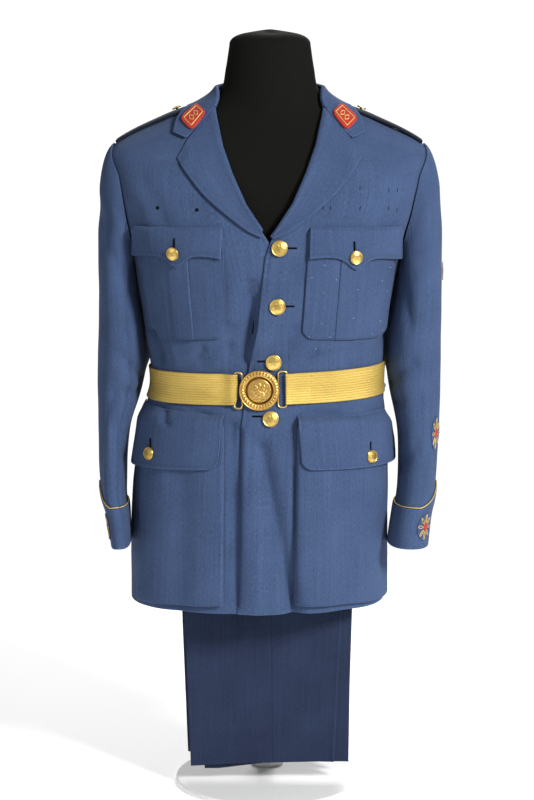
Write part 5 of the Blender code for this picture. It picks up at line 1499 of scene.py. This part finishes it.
def button_top(share, angle):
    """A domed button with a beaded rim and a small rosette."""
    dome = 0.0052 - 0.0016 * share**2
    rim = 0.00055 * np.exp(-(((share - 0.93) / 0.045) ** 2))
    moat = np.exp(-(((share - 0.84) / 0.040) ** 2))
    fall = 0.0016 * smooth((share - 0.955) / 0.045)
    flower, between = rosette(share, angle, 6, 0.62, 0.00030)
    # Painted shade: the hollow mask also darkens the fall at the rim, all round the button's edge.
    hollow = np.clip(moat * 0.9 + between * 0.8 + 0.25 * smooth((share - 0.955) / 0.03), 0, 1)
    return dome + rim - 0.0003 * moat - fall + flower, hollow


def buckle_top(share, angle):
    """A ring of leaves round a sunk ring and a domed middle."""
    leaf_turn = 34 * angle
    in_band = np.exp(-(((share - 0.835) / 0.085) ** 4))
    vein = np.sin(leaf_turn + 26 * (share - 0.835)) * np.where(share > 0.835, 1.0, -1.0)
    leaves = 0.00075 * in_band * (0.5 + 0.5 * vein)
    bead = 0.0008 * np.exp(-(((share - 0.972) / 0.020) ** 2))
    inner_rim = 0.0010 * np.exp(-(((share - 0.695) / 0.022) ** 2))
    moat = np.exp(-(((share - 0.630) / 0.052) ** 2))
    dome = 0.0034 * smooth((0.66 - share) / 0.10) + 0.0012 * (1 - np.clip(share / 0.62, 0, 1) ** 2)
    base = 0.0040 + 0.0012 * np.exp(-(((share - 0.83) / 0.12) ** 2))
    base = base - 0.0014 * smooth((share - 0.985) / 0.015)
    flower, between = rosette(share, angle, 8, 0.40, 0.0005)
    rough = 0.00016 * np.sin(9 * angle) * np.sin(41 * share) * smooth((0.6 - share) / 0.1)
    hollow = np.clip(moat + in_band * (0.5 - 0.5 * vein) * 0.8 + between * 0.6, 0, 1)
    height = base - 0.0016 * smooth((0.70 - share) / 0.05) + dome * 0.75
    height = height + leaves + bead + inner_rim - 0.0006 * moat
    return height + flower + rough, hollow


def seat_on_front(x, z, lift):
    angle, level = locate(x, z)
    point = on_front(np.array(x), np.array(z), lift)
    return point, normals(loft, angle, level, 1.0, 0.02)


BIG_BUTTON = 0.0113
POCKET_BUTTON = 0.0093
STRAP_BUTTON = 0.0070
ON_CLOSURE = LAYER - 0.0002
ON_CHEST_FLAP = 3 * LAYER + POUCH_EXTRA + PLEAT_RISE + FLAP_EXTRA - 0.0003
ON_HIP_FLAP = 3 * LAYER + POUCH_EXTRA + FLAP_EXTRA + 0.0040
Button = namedtuple("Button", "node radius x z lift")
BUTTONS = [
    Button("front_button_1", BIG_BUTTON, 0.0143, 0.8135, ON_CLOSURE),
    Button("front_button_2", BIG_BUTTON, 0.0114, 0.7323, ON_CLOSURE),
    Button("front_button_3", BIG_BUTTON, 0.0062, 0.6525, ON_CLOSURE),
    Button("front_button_4", BIG_BUTTON, 0.0021, 0.5710, ON_CLOSURE),
    Button("chest_button_left", POCKET_BUTTON, 0.1172, 0.8022, ON_CHEST_FLAP),
    Button("chest_button_right", POCKET_BUTTON, -0.1308, 0.8065, ON_CHEST_FLAP),
    Button("hip_button_left", POCKET_BUTTON, 0.1370, 0.5120, ON_HIP_FLAP),
    Button("hip_button_right", POCKET_BUTTON, -0.1620, 0.5140, ON_HIP_FLAP),
]
BUTTON_BACK = [(1.0, 0.0027), (0.90, 0.0018), (0.30, 0.0016), (0.26, 0.0)]


def button(name, node, radius, seat, out):
    scale = radius / BIG_BUTTON

    def top(share, angle):
        height, hollow = button_top(share, angle)
        return 0.0018 + (height - 0.0018) * (0.55 + 0.45 * scale), hollow

    made = relief(name, radius, top, BUTTON_BACK, GILT, seat, out, steps=48, rows=18)
    return keep(made, node)


for item in BUTTONS:
    seat, out = seat_on_front(item.x, item.z, item.lift)
    button(f"{item.node}_gilt", item.node, item.radius, seat, out)

# The shoulder straps
STRAP_TIP = 0.1130
STRAP_END = 0.2170
STRAP_HALF_TIP = 0.0190
STRAP_HALF_END = 0.0250
STRAP_BOW = 0.0016
STRAP_POINT = 0.0110
STRAP_THICKNESS = 0.0036


def shoulder_strap(side):
    u, v = np.meshgrid(2 * spread(34, 0.045) - 1, spread(52, 0.09))
    tip = STRAP_TIP + STRAP_POINT * np.abs(u) ** 1.6
    x = tip + (STRAP_END - tip) * v
    y = u * (STRAP_HALF_TIP + (STRAP_HALF_END - STRAP_HALF_TIP) * v)
    angle, level = locate_from_above(side * x, y)
    return skin(angle, level, LAYER + STRAP_BOW * np.sin(np.pi * v), folded=False)


for name, side in (("left", 1), ("right", -1)):
    cloth(f"strap_{name}_cloth", f"shoulder_strap_{name}", shoulder_strap(side), SHADED_STRAP_WOOL, "tunic_wool", "laid",
          [f"front_{name}_cloth"], thickness=STRAP_THICKNESS, turned=side < 0, groove=0.0050)
    angle, level = locate_from_above(side * 0.1300, 0.0095)
    seat = skin(angle, level, LAYER + STRAP_THICKNESS + 0.0004, folded=False)
    facing = normals(loft, angle, level, 1.0, 0.02)
    button(f"strap_button_{name}_gilt", f"strap_button_{name}", STRAP_BUTTON, seat, facing)

# The collar patches
PATCH_CORNERS = [Edge(0.9945, 0.0870), Edge(1.0055, 0.1005), Edge(0.9850, 0.1255), Edge(0.9690, 0.1080)]
PATCH_THICKNESS = 0.0026
PATCH_EXTRA = 0.0002
PATCH_LIFT = COLLAR_LIFT + LAYER - CLOTH + PATCH_EXTRA
FRAME_INSET = 0.19
PATCH_ROUND = 0.22


def on_patch(side, u, v, lift):
    """Points over a collar patch, with its corners rounded: u across it and v up it, from 0 to 1."""
    a, b, c, d = (np.array(corner) for corner in PATCH_CORNERS)
    u, v = np.asarray(u, float), np.asarray(v, float)
    draw = PATCH_ROUND * np.abs(2 * u - 1) ** 5 * np.abs(2 * v - 1) ** 5
    u, v = (u + draw * (0.5 - u))[..., None], (v + draw * (0.5 - v))[..., None]
    place = (d + (c - d) * u) * (1 - v) + (a + (b - a) * u) * v
    angle, level = locate(side * place[..., 1], place[..., 0])
    return skin(angle, level, lift, folded=False)


def loop_through(corners, count=14):
    """Shares (u, v) along a closed line through corners."""
    found = []
    for first, second in zip(corners, corners[1:] + corners[:1]):
        t = np.arange(count) / count
        found.append(np.array(first) + (np.array(second) - np.array(first)) * t[:, None])
    return np.concatenate(found)


for name, side in (("left", 1), ("right", -1)):
    u, v = np.meshgrid(spread(16, 0.022), spread(22, 0.034))
    cloth(f"patch_{name}_felt", f"collar_patch_{name}", on_patch(side, u, v, PATCH_LIFT), PATCH,
          "red_felt", "laid", ["collar_cloth"], thickness=PATCH_THICKNESS, turned=side > 0)
    high = PATCH_LIFT + PATCH_THICKNESS + 0.0002
    low_in, high_in = FRAME_INSET, 1 - FRAME_INSET
    outline = loop_through([(low_in, 0.13), (high_in, 0.13), (high_in, 0.87), (low_in, 0.87)])
    runs = [dict(points=on_patch(side, outline[:, 0], outline[:, 1], high), radius=0.00090,
                 reference=(0, 1, 0.3), sides=6, closed=True, strands=2, pitch=0.0024)]
    for centre in (0.37, 0.63):
        points = [(0.32, centre), (0.5, centre - 0.10), (0.68, centre), (0.5, centre + 0.10)]
        diamond = loop_through(points, 6)
        runs.append(dict(points=on_patch(side, diamond[:, 0], diamond[:, 1], high), radius=0.00075,
                         reference=(0, 1, 0.3), sides=6, closed=True))
    keep(tubes(f"patch_{name}_cord", runs, CORD))

# The belt, its loops and its buckle
BELT_HEIGHT = 0.0465
BELT_RISE = 0.0040
BELT_THICKNESS = 0.0021
BELT_EXTRA = 0.0008
BELT_RIGHT_END = -0.0432
BELT_LEFT_END = 0.0225
END_RISE = 0.0026
END_REACH = 0.0140
BELT_RIBS = 12
RIB_HEIGHT = 0.00055
SELVEDGE = 0.0028
DOUBLED_TO = 0.0560
DOUBLED_EXTRA = 0.0007
BUCKLE_X = -0.0135
BUCKLE_Z = 0.6126
BUCKLE_RADIUS = 0.0288
BUCKLE_SEAT = 0.0014
LOOP_WIRE = 0.0012
LOOP_HEIGHT = 0.0530
LOOP_LIFT = 2 * LAYER + LOOP_WIRE + 0.0005
LoopPlace = namedtuple("LoopPlace", "name x_from x_to z")
LOOPS = [
    LoopPlace("buckle_loop_left", 0.0125, 0.0247, 0.6135),
    LoopPlace("buckle_loop_right", -0.0485, -0.0375, 0.6115),
]


def belt_lift(x, angle):
    ahead = np.sin(np.radians(angle)) > 0
    turn = np.asarray(angle, float) % 360
    crossing = np.where(turn < 90, overlap_lift(turn), LAYER * smooth((x + 0.072) / 0.022))
    from_end = np.where(x > 0, x - BELT_LEFT_END, BELT_RIGHT_END - x)
    over_loop = END_RISE * smooth(1 - (from_end - 0.0060) / END_REACH)
    return LAYER + BELT_EXTRA + np.where(ahead, crossing + over_loop, 0.0)


def belt():
    """The belt's inner face, its thickness with the ribs, and how deep each point lies between ribs."""
    level = float(level_at(90.0, BELT_MIDDLE))
    first = float(angle_at(BELT_RIGHT_END, level))
    last = 360 + float(angle_at(BELT_LEFT_END, level))
    fine = np.concatenate([[0.0, 0.15, 0.4, 0.8], np.linspace(1.2, 16, 18)])
    seam = 360 + float(angle_at(DOUBLED_TO, level))
    near_seam = seam + np.linspace(-0.8, 0.8, 7)
    inner = np.linspace(first + 17, last - 17, 150)
    angle = np.unique(np.concatenate([first + fine, inner, near_seam, last - fine]))
    across = np.sort(np.concatenate([
        [-0.5, -0.4915, -0.480, 0.480, 0.4915, 0.5], np.linspace(-0.465, 0.465, BELT_RIBS * 6 + 1),
    ]))
    middle = BELT_MIDDLE + BELT_RISE * np.cos(np.radians(angle))
    z = middle + across[:, None] * BELT_HEIGHT
    turn = np.broadcast_to(angle, z.shape)
    levels = level_at(turn, z)
    x = skin(turn, levels, 0.0, folded=False)[..., 0]
    grid = skin(turn, levels, belt_lift(x, turn), folded=False)
    inside = (np.abs(across) * BELT_HEIGHT < BELT_HEIGHT / 2 - SELVEDGE).astype(float)
    wave = np.abs(np.sin(math.pi * BELT_RIBS * (across + 0.5) * BELT_HEIGHT / (BELT_HEIGHT - 0.5 * SELVEDGE)))
    rib = RIB_HEIGHT * (np.sqrt(wave) * inside + 1.15 * (1 - inside))
    doubled = DOUBLED_EXTRA * ((turn - last) > (seam - last)) * (x > 0)
    thickness = BELT_THICKNESS - RIB_HEIGHT + rib[:, None] + doubled
    hollow = np.broadcast_to(((1 - np.sqrt(wave)) * inside)[:, None], z.shape)
    return grid, thickness, hollow


belt_points, belt_thickness, belt_hollow = belt()
band, band_length, band_width, _ = wall(
    "belt_lace", belt_points, LACE, thickness=belt_thickness, free="lrbt", hollow=belt_hollow)
keep(band, "belt")


def buckle_loop(place):
    """A wire loop with rounded ends, which the belt's end turns round."""
    radius = 0.0045
    half_x, half_z = (place.x_to - place.x_from) / 2, LOOP_HEIGHT / 2
    centre_x = (place.x_from + place.x_to) / 2
    points = []
    for corner_x, corner_z, first in ((1, 1, 0), (-1, 1, 90), (-1, -1, 180), (1, -1, 270)):
        for turn in range(0, 91, 10):
            a = math.radians(first + turn)
            x = centre_x + corner_x * (half_x - radius) + radius * math.cos(a)
            z = place.z + corner_z * (half_z - radius) + radius * math.sin(a)
            points.append((x, z))
    x, z = np.array(points).T
    angle, level = locate(x, z)
    return skin(angle, level, LOOP_LIFT, folded=False)


for place in LOOPS:
    run = dict(points=buckle_loop(place), radius=LOOP_WIRE, reference=(0, 1, 0), sides=12, closed=True)
    keep(tubes(f"{place.name}_wire", [run], GILT), place.name)

buckle_angle, buckle_level = locate(BUCKLE_X, BUCKLE_Z)
buckle_lift = LOOP_LIFT - LAYER + LOOP_WIRE + BUCKLE_SEAT + float(overlap_lift(buckle_angle))
buckle_seat = skin(buckle_angle, buckle_level, buckle_lift, folded=False)
buckle_out = normals(loft, buckle_angle, buckle_level, 1.0, 0.02)
buckle = relief(
    "buckle_gilt", BUCKLE_RADIUS, buckle_top, [(1.0, 0.0012), (0.94, 0.0), (0.5, 0.0)], BUCKLE_GILT,
    buckle_seat, buckle_out, steps=280, rows=72)
keep(buckle, "buckle")

# The sling ring and the hook that hangs on it
RING_RADIUS = 0.0032
RING_ANGLE = -14.0
RING_WIRE = 0.0008
RING_Z = 0.5960
HOOK_EYE = 0.0027
HOOK_GAP = 0.0003
HOOK_SHANK = 0.0075
HOOK_BEND = 0.0042
HOOK_WIRE = 0.00084


def circle(count):
    return [math.radians(360 * index / count) for index in range(count)]


ring_level = level_at(RING_ANGLE, RING_Z)
ring_face = skin(RING_ANGLE, ring_level, LAYER + BELT_EXTRA + BELT_THICKNESS + SEAM_GAP, folded=False)
ring_x, ring_y = float(ring_face[0]) + RING_RADIUS + RING_WIRE, float(ring_face[1])
ring = [(ring_x + RING_RADIUS * math.cos(a), ring_y, RING_Z + RING_RADIUS * math.sin(a)) for a in circle(36)]
run = dict(points=ring, radius=RING_WIRE, reference=(0, 1, 0), sides=10, closed=True)
keep(tubes("sling_ring_wire", [run], DARK_BRASS), "sling_ring")
eye_z = RING_Z - RING_RADIUS + 2 * RING_WIRE + HOOK_GAP - HOOK_EYE
eye = [(ring_x, ring_y + HOOK_EYE * math.sin(a), eye_z + HOOK_EYE * math.cos(a)) for a in circle(36)]
run = dict(points=eye, radius=RING_WIRE, reference=(1, 0, 0), sides=10, closed=True)
keep(tubes("hook_eye_wire", [run], DARK_BRASS), "hook_eye", "sling_hook")
low = eye_z - HOOK_EYE
shank = [(ring_x, ring_y, low - RING_WIRE - SEAM_GAP), (ring_x, ring_y, low - 0.5 * HOOK_SHANK)]
for turn in range(0, 181, 10):
    a = math.radians(turn)
    shank.append((ring_x, ring_y + HOOK_BEND * (1 - math.cos(a)), low - HOOK_SHANK - HOOK_BEND * math.sin(a)))
run = dict(points=shank, radius=HOOK_WIRE, reference=(1, 0, 0), sides=10)
keep(tubes("sling_hook_wire", [run], DARK_BRASS), "sling_hook", "sling_hook")

# The sleeve badges, in a generic design
Badge = namedtuple("Badge", "name side phi z half_width half_height")
BADGES = [
    Badge("badge_upper_arm", 1, 13.0, 0.771, 0.011, 0.0135),
    Badge("badge_forearm", 1, 40.0, 0.538, 0.013, 0.0235),
    Badge("badge_left_cuff", 1, 60.0, 0.410, 0.011, 0.0190),
    Badge("badge_right_cuff", -1, 40.0, 0.409, 0.011, 0.0190),
]
BADGE_THICKNESS = 0.0009


def on_sleeve(badge, across, up, lift):
    """Points over a badge, across and up it in metres from its middle."""
    here = sleeve_base(badge.side, badge.phi, station_at(badge.side, badge.phi, badge.z))
    beside = sleeve_base(badge.side, badge.phi + 1, station_at(badge.side, badge.phi + 1, badge.z))
    phi = badge.phi + across / np.linalg.norm(beside - here)
    level = LAYER + (LAYER + CUFF_EXTRA if badge.z < CUFF_LOW else 0.0)
    return sleeve_skin(badge.side, phi, station_at(badge.side, phi, badge.z + up), level + lift)


def badge_pieces(badge):
    u, v = np.meshgrid(np.linspace(-1, 1, 25), np.linspace(-1, 1, 33))
    across, up = u * np.sqrt(1 - v * v / 2), v * np.sqrt(1 - u * u / 2)
    ground = on_sleeve(badge, across * badge.half_width, up * badge.half_height, 0.0)
    made, *_ = wall(f"{badge.name}_ground", ground, TUNIC, thickness=BADGE_THICKNESS, turned=badge.side < 0)
    keep(made, badge.name)
    gold, red = [], []
    for index in range(8):
        a = 2 * math.pi * index / 8
        t = np.linspace(0.30, 0.93, 9)
        spine_x, spine_z = np.cos(a) * badge.half_width, np.sin(a) * badge.half_height
        bow = 0.10 * np.sin(math.pi * (t - 0.30) / 0.63)
        reference = (0, 0.3, 1) if abs(np.sin(a)) < 0.5 else (1, 0.3, 0)
        for way in (-1, 1):
            x = spine_x * t - way * bow * np.sin(a) * badge.half_width
            z = spine_z * t + way * bow * np.cos(a) * badge.half_height
            gold.append(dict(points=on_sleeve(badge, x, z, BADGE_THICKNESS), radius=0.0007,
                             reference=reference, sides=6, strands=2, pitch=0.002))
    for turn_radius in (0.10, 0.20):
        a = np.array(circle(16))
        x = turn_radius * badge.half_width * np.cos(a) * 1.3
        z = turn_radius * badge.half_height * np.sin(a) * 1.1
        red.append(dict(points=on_sleeve(badge, x, z, BADGE_THICKNESS + 0.0002), radius=0.0008,
                        reference=(badge.side, -0.4, 0), sides=6, closed=True))
    keep(tubes(f"{badge.name}_bullion", gold, BULLION))
    keep(tubes(f"{badge.name}_heart", red, RED_THREAD))


for badge in BADGES:
    badge_pieces(badge)

# Worked holes in the cloth: buttonholes, two eyelets and rows of small loops for pinned bars
Hole = namedtuple("Hole", "x z reach_x reach_z lift")
OVER_CHEST = ON_CHEST_FLAP
OVER_HIP = ON_HIP_FLAP
BUTTONHOLES = [
    Hole(0.0290, 0.8138, 0.0095, 0.0, LAYER - 0.0006), Hole(0.0262, 0.7325, 0.0090, 0.0, LAYER - 0.0006),
    Hole(-0.0085, 0.6540, 0.0080, 0.0, LAYER - 0.0006), Hole(-0.0135, 0.5745, 0.0100, 0.0, LAYER - 0.0006),
    Hole(0.1158, 0.8155, 0.0, 0.0085, OVER_CHEST), Hole(-0.1300, 0.8195, 0.0, 0.0085, OVER_CHEST),
    Hole(0.1362, 0.5245, 0.0, 0.0080, OVER_HIP), Hole(-0.1610, 0.5265, 0.0, 0.0080, OVER_HIP),
]
EYELETS = [(-0.1570, 0.8686), (-0.1009, 0.8663)]
MEDAL_LOOPS = [
    (0.1265, 0.8955), (0.1680, 0.8925), (0.1808, 0.8925), (0.0752, 0.8690), (0.0852, 0.8682),
    (0.1265, 0.8682), (0.1680, 0.8675), (0.1792, 0.8648),
]
THREAD_ENDS = [
    (0.0760, 0.7905), (0.0585, 0.7735), (0.0915, 0.7705), (0.0740, 0.7520), (0.1210, 0.7548),
    (0.1670, 0.7835), (0.1555, 0.7650), (0.1630, 0.7480), (0.1155, 0.7135), (0.1540, 0.7050),
    (0.0715, 0.7080), (0.0545, 0.6892), (0.0830, 0.6878), (0.1425, 0.6878), (0.1583, 0.6905),
    (0.0640, 0.6720),
]


def stadium(hole, half, count=10):
    """A long closed line round a slit."""
    points = []
    along = np.array([hole.reach_x, hole.reach_z])
    length = np.linalg.norm(along)
    way = along / length
    side = np.array([-way[1], way[0]])
    for end, first in ((1, -90), (-1, 90)):
        for turn in np.linspace(first, first + 180, count):
            a = math.radians(turn)
            place = way * (end * (length - half) + half * math.cos(a)) + side * half * math.sin(a)
            points.append((hole.x + place[0], hole.z + place[1]))
    return np.array(points)


# Painted shade: the rims are worked navy thread, but the near-black cords laid in each slit, in the eyelets'
# holes and along the medal loops stand for the shade in the openings.
hole_shade_cords, rims = [], []
for hole in BUTTONHOLES:
    line = stadium(hole, 0.0010)
    rims.append(dict(points=on_front(line[:, 0], line[:, 1], hole.lift), radius=0.00050,
                     reference=(0, 1, 0), sides=6, closed=True, strands=1, pitch=0.0008))
    core = stadium(hole, 0.0002)
    hole_shade_cords.append(dict(points=on_front(core[:, 0], core[:, 1], hole.lift), radius=0.00048,
                      reference=(0, 1, 0), sides=6, closed=True))
for x, z in EYELETS:
    a = np.array(circle(18))
    rims.append(dict(points=on_front(x + 0.0020 * np.cos(a), z + 0.0020 * np.sin(a), CLOTH + 0.0002),
                     radius=0.00055, reference=(0, 1, 0), sides=6, closed=True))
    hole_shade_cords.append(dict(points=on_front(x + 0.0009 * np.cos(a), z + 0.0009 * np.sin(a), CLOTH), radius=0.0009,
                      reference=(0, 1, 0), sides=6, closed=True))
for x, z in MEDAL_LOOPS:
    t = np.linspace(-1, 1, 7)
    hole_shade_cords.append(dict(points=on_front(x + 0.0003 * t, z + 0.0026 * t, CLOTH + 0.0001), radius=0.00050,
                      reference=(1, 0, 0), sides=6))
keep(tubes("worked_hole_rims", rims, NAVY_THREAD_AND_HOLE_SHADE))
keep(tubes("worked_hole_painted_shade", hole_shade_cords, NAVY_THREAD_AND_HOLE_SHADE))

ends = []
for index, (x, z) in enumerate(THREAD_ENDS):
    t = np.linspace(0, 1, 7)
    lean = 0.8 * math.sin(2.4 * index)
    reach = 0.0024 + 0.0008 * math.sin(1.7 * index)
    hair_x = x + reach * (t - 0.5) * math.cos(lean)
    hair_z = z + reach * (t - 0.5) * math.sin(lean) + 0.0006 * np.sin(math.pi * t)
    lift = LAYER + POUCH_EXTRA + PLEAT_RISE + CLOTH + 0.0004 * np.sin(math.pi * t)
    ends.append(dict(points=on_front(hair_x, hair_z, lift), radius=0.00022, reference=(0, 1, 0), sides=5))
keep(tubes("thread_ends", ends, PALE_THREAD))


# Rows of stitching, made by one tree of geometry nodes
def stitch_tree():
    """Lays one long thin bead at each pitch along every curve."""
    tree = bpy.data.node_groups.new("stitches_along_seam", "GeometryNodeTree")
    tree.interface.new_socket("Seam", in_out="INPUT", socket_type="NodeSocketGeometry")
    for label in ("Pitch", "Length", "Radius"):
        tree.interface.new_socket(label, in_out="INPUT", socket_type="NodeSocketFloat")
    tree.interface.new_socket("Thread", in_out="INPUT", socket_type="NodeSocketMaterial")
    tree.interface.new_socket("Stitches", in_out="OUTPUT", socket_type="NodeSocketGeometry")
    start, end = tree.nodes.new("NodeGroupInput"), tree.nodes.new("NodeGroupOutput")
    along = tree.nodes.new("GeometryNodeCurveToPoints")
    along.mode = "LENGTH"
    bead = tree.nodes.new("GeometryNodeMeshIcoSphere")
    size = tree.nodes.new("ShaderNodeCombineXYZ")
    shaped = tree.nodes.new("GeometryNodeTransform")
    laid = tree.nodes.new("GeometryNodeInstanceOnPoints")
    real = tree.nodes.new("GeometryNodeRealizeInstances")
    finish = tree.nodes.new("GeometryNodeSetMaterial")
    link = tree.links.new
    link(start.outputs["Seam"], along.inputs["Curve"])
    link(start.outputs["Pitch"], along.inputs["Length"])
    link(start.outputs["Radius"], size.inputs[0])
    link(start.outputs["Radius"], size.inputs[1])
    link(start.outputs["Length"], size.inputs[2])
    link(size.outputs[0], shaped.inputs["Scale"])
    link(bead.outputs["Mesh"], shaped.inputs["Geometry"])
    link(along.outputs["Points"], laid.inputs["Points"])
    link(along.outputs["Rotation"], laid.inputs["Rotation"])
    link(shaped.outputs["Geometry"], laid.inputs["Instance"])
    link(laid.outputs["Instances"], real.inputs["Geometry"])
    link(real.outputs["Geometry"], finish.inputs["Geometry"])
    link(start.outputs["Thread"], finish.inputs["Material"])
    link(finish.outputs["Geometry"], end.inputs["Stitches"])
    return tree


STITCH_TREE = stitch_tree()


def stitches(name, lines, finish, pitch=0.0032, length=0.00115, radius=0.00024):
    """Stitches along several open lines on the cloth, as one mesh."""
    curve = bpy.data.curves.new(name + "_lines", "CURVE")
    curve.dimensions = "3D"
    for line in lines:
        spline = curve.splines.new("POLY")
        spline.points.add(len(line) - 1)
        spline.points.foreach_set("co", np.column_stack([line, np.ones(len(line))]).ravel())
    seam = bpy.data.objects.new(name + "_lines", curve)
    bpy.context.scene.collection.objects.link(seam)
    sewing = seam.modifiers.new("stitches", "NODES")
    sewing.node_group = STITCH_TREE
    sizes = {"Pitch": pitch, "Length": length, "Radius": radius, "Thread": finish}
    for item in STITCH_TREE.interface.items_tree:
        if item.in_out == "INPUT" and item.name in sizes:
            sewing[item.identifier] = sizes[item.name]
    bpy.context.view_layer.update()
    ready = bpy.data.meshes.new_from_object(seam.evaluated_get(bpy.context.evaluated_depsgraph_get()))
    bpy.data.objects.remove(seam, do_unlink=True)
    made = bpy.data.objects.new(name, ready)
    bpy.context.scene.collection.objects.link(made)
    return keep(made)


STITCH_OUT = CLOTH + 0.00005


def inset_line(grid, left, right, bottom, top, distance, out):
    """A line over a grid, distance in from the named edges, on its outer face."""
    across, along = steps_along(grid, 1), steps_along(grid, 0)
    outer = grid + out * STITCH_OUT
    found = []

    def at(row, column):
        i, j = int(row), int(column)
        k, m = min(i + 1, grid.shape[0] - 1), min(j + 1, grid.shape[1] - 1)
        p, q = row - i, column - j
        below = outer[i, j] * (1 - q) + outer[i, m] * q
        over = outer[k, j] * (1 - q) + outer[k, m] * q
        return below * (1 - p) + over * p

    def column_at(row, length):
        return float(np.interp(length, across[int(row)], np.arange(grid.shape[1])))

    def row_at(column, length):
        return float(np.interp(length, along[:, int(column)], np.arange(grid.shape[0])))

    middle = grid.shape[1] // 2
    low = row_at(middle, distance) if bottom else 0.0
    high = row_at(middle, along[-1, middle] - distance) if top else grid.shape[0] - 1.0
    if left:
        found += [at(row, column_at(row, distance)) for row in np.arange(high, low, -1.0)]
    if bottom:
        first = column_at(low, distance) if left else 0.0
        last = column_at(low, across[int(low), -1] - distance) if right else grid.shape[1] - 1.0
        found += [at(row_at(column, distance), column) for column in np.arange(first, last, 1.0)]
    if right:
        for row in np.arange(low, high, 1.0):
            found.append(at(row, column_at(row, across[int(row), -1] - distance)))
    return np.array(found)


seam_lines = []
for name, side in (("left", 1), ("right", -1)):
    pouch, _ = chest_pouch(CHEST_POCKETS[name], PLEAT_AT[name])
    for grid, distance in (
        (chest_flap(CHEST_FLAPS[name]), 0.0058), (hip_flap(HIP_FLAPS[name]), 0.0058), (pouch, 0.0020),
        (hip_pouch(HIP_POCKETS[name]), 0.0020),
    ):
        out = grid_normals(grid) * (-1 if side > 0 else 1)
        seam_lines.append(inset_line(grid, True, True, True, False, distance, out))
    panel = front_panel(side)[0][:-34]
    out = grid_normals(panel) * side
    seam_lines.append(inset_line(panel, False, True, False, False, 0.0065, out))
stitches("tunic_stitching", seam_lines, SEWING)

# The floor, the light and the end
floor_finish = Finish("pale_floor", roughness=0.9, emission_strength=0.32)
floor_finish.shader.inputs["Emission Color"].default_value = (1.0, 1.0, 1.0, 1.0)
floor_place = floor_finish.node("ShaderNodeTexCoord", output="Object")
floor_tone = floor_finish.mix(floor_finish.noise(floor_place, 3.0), (0.93, 0.93, 0.93), (0.90, 0.90, 0.90))
floor_finish.feed(floor_tone)
FLOOR_HALF = 1.5
floor = mesh_of(
    "floor", [(-FLOOR_HALF, -FLOOR_HALF, 0), (FLOOR_HALF, -FLOOR_HALF, 0), (FLOOR_HALF, FLOOR_HALF, 0),
              (-FLOOR_HALF, FLOOR_HALF, 0)], [(0, 1, 2, 3)], floor_finish.material)

SKY_LIGHT = 0.32
SKY_SEEN = 1.05
world = bpy.data.worlds.new("studio")
world.use_nodes = True
sky = world.node_tree.nodes["Background"]
sky.inputs["Color"].default_value = (1.0, 1.0, 1.0, 1.0)
seen = world.node_tree.nodes.new("ShaderNodeLightPath")
strength = world.node_tree.nodes.new("ShaderNodeMapRange")
strength.inputs["To Min"].default_value = SKY_LIGHT
strength.inputs["To Max"].default_value = SKY_SEEN
world.node_tree.links.new(seen.outputs["Is Camera Ray"], strength.inputs["Value"])
world.node_tree.links.new(strength.outputs["Result"], sky.inputs["Strength"])
bpy.context.scene.world = world
bpy.context.scene.view_settings.view_transform = "Standard"

Lamp = namedtuple("Lamp", "name place aim size power")
LAMPS = [
    Lamp("key", (2.15, -2.45, 2.3), (0.0, 0.0, 0.65), 0.7, 165.0),
    Lamp("fill", (-2.3, -2.6, 1.5), (0.0, 0.0, 0.60), 1.6, 15.0),
    Lamp("back", (0.6, 2.6, 2.4), (0.0, 0.0, 0.80), 1.4, 60.0),
]
for lamp in LAMPS:
    light = bpy.data.lights.new(lamp.name, "AREA")
    light.size = lamp.size
    light.energy = lamp.power
    made = bpy.data.objects.new(lamp.name, light)
    made.location = lamp.place
    made.rotation_euler = (Vector(lamp.place) - Vector(lamp.aim)).to_track_quat("Z", "Y").to_euler()
    bpy.context.scene.collection.objects.link(made)
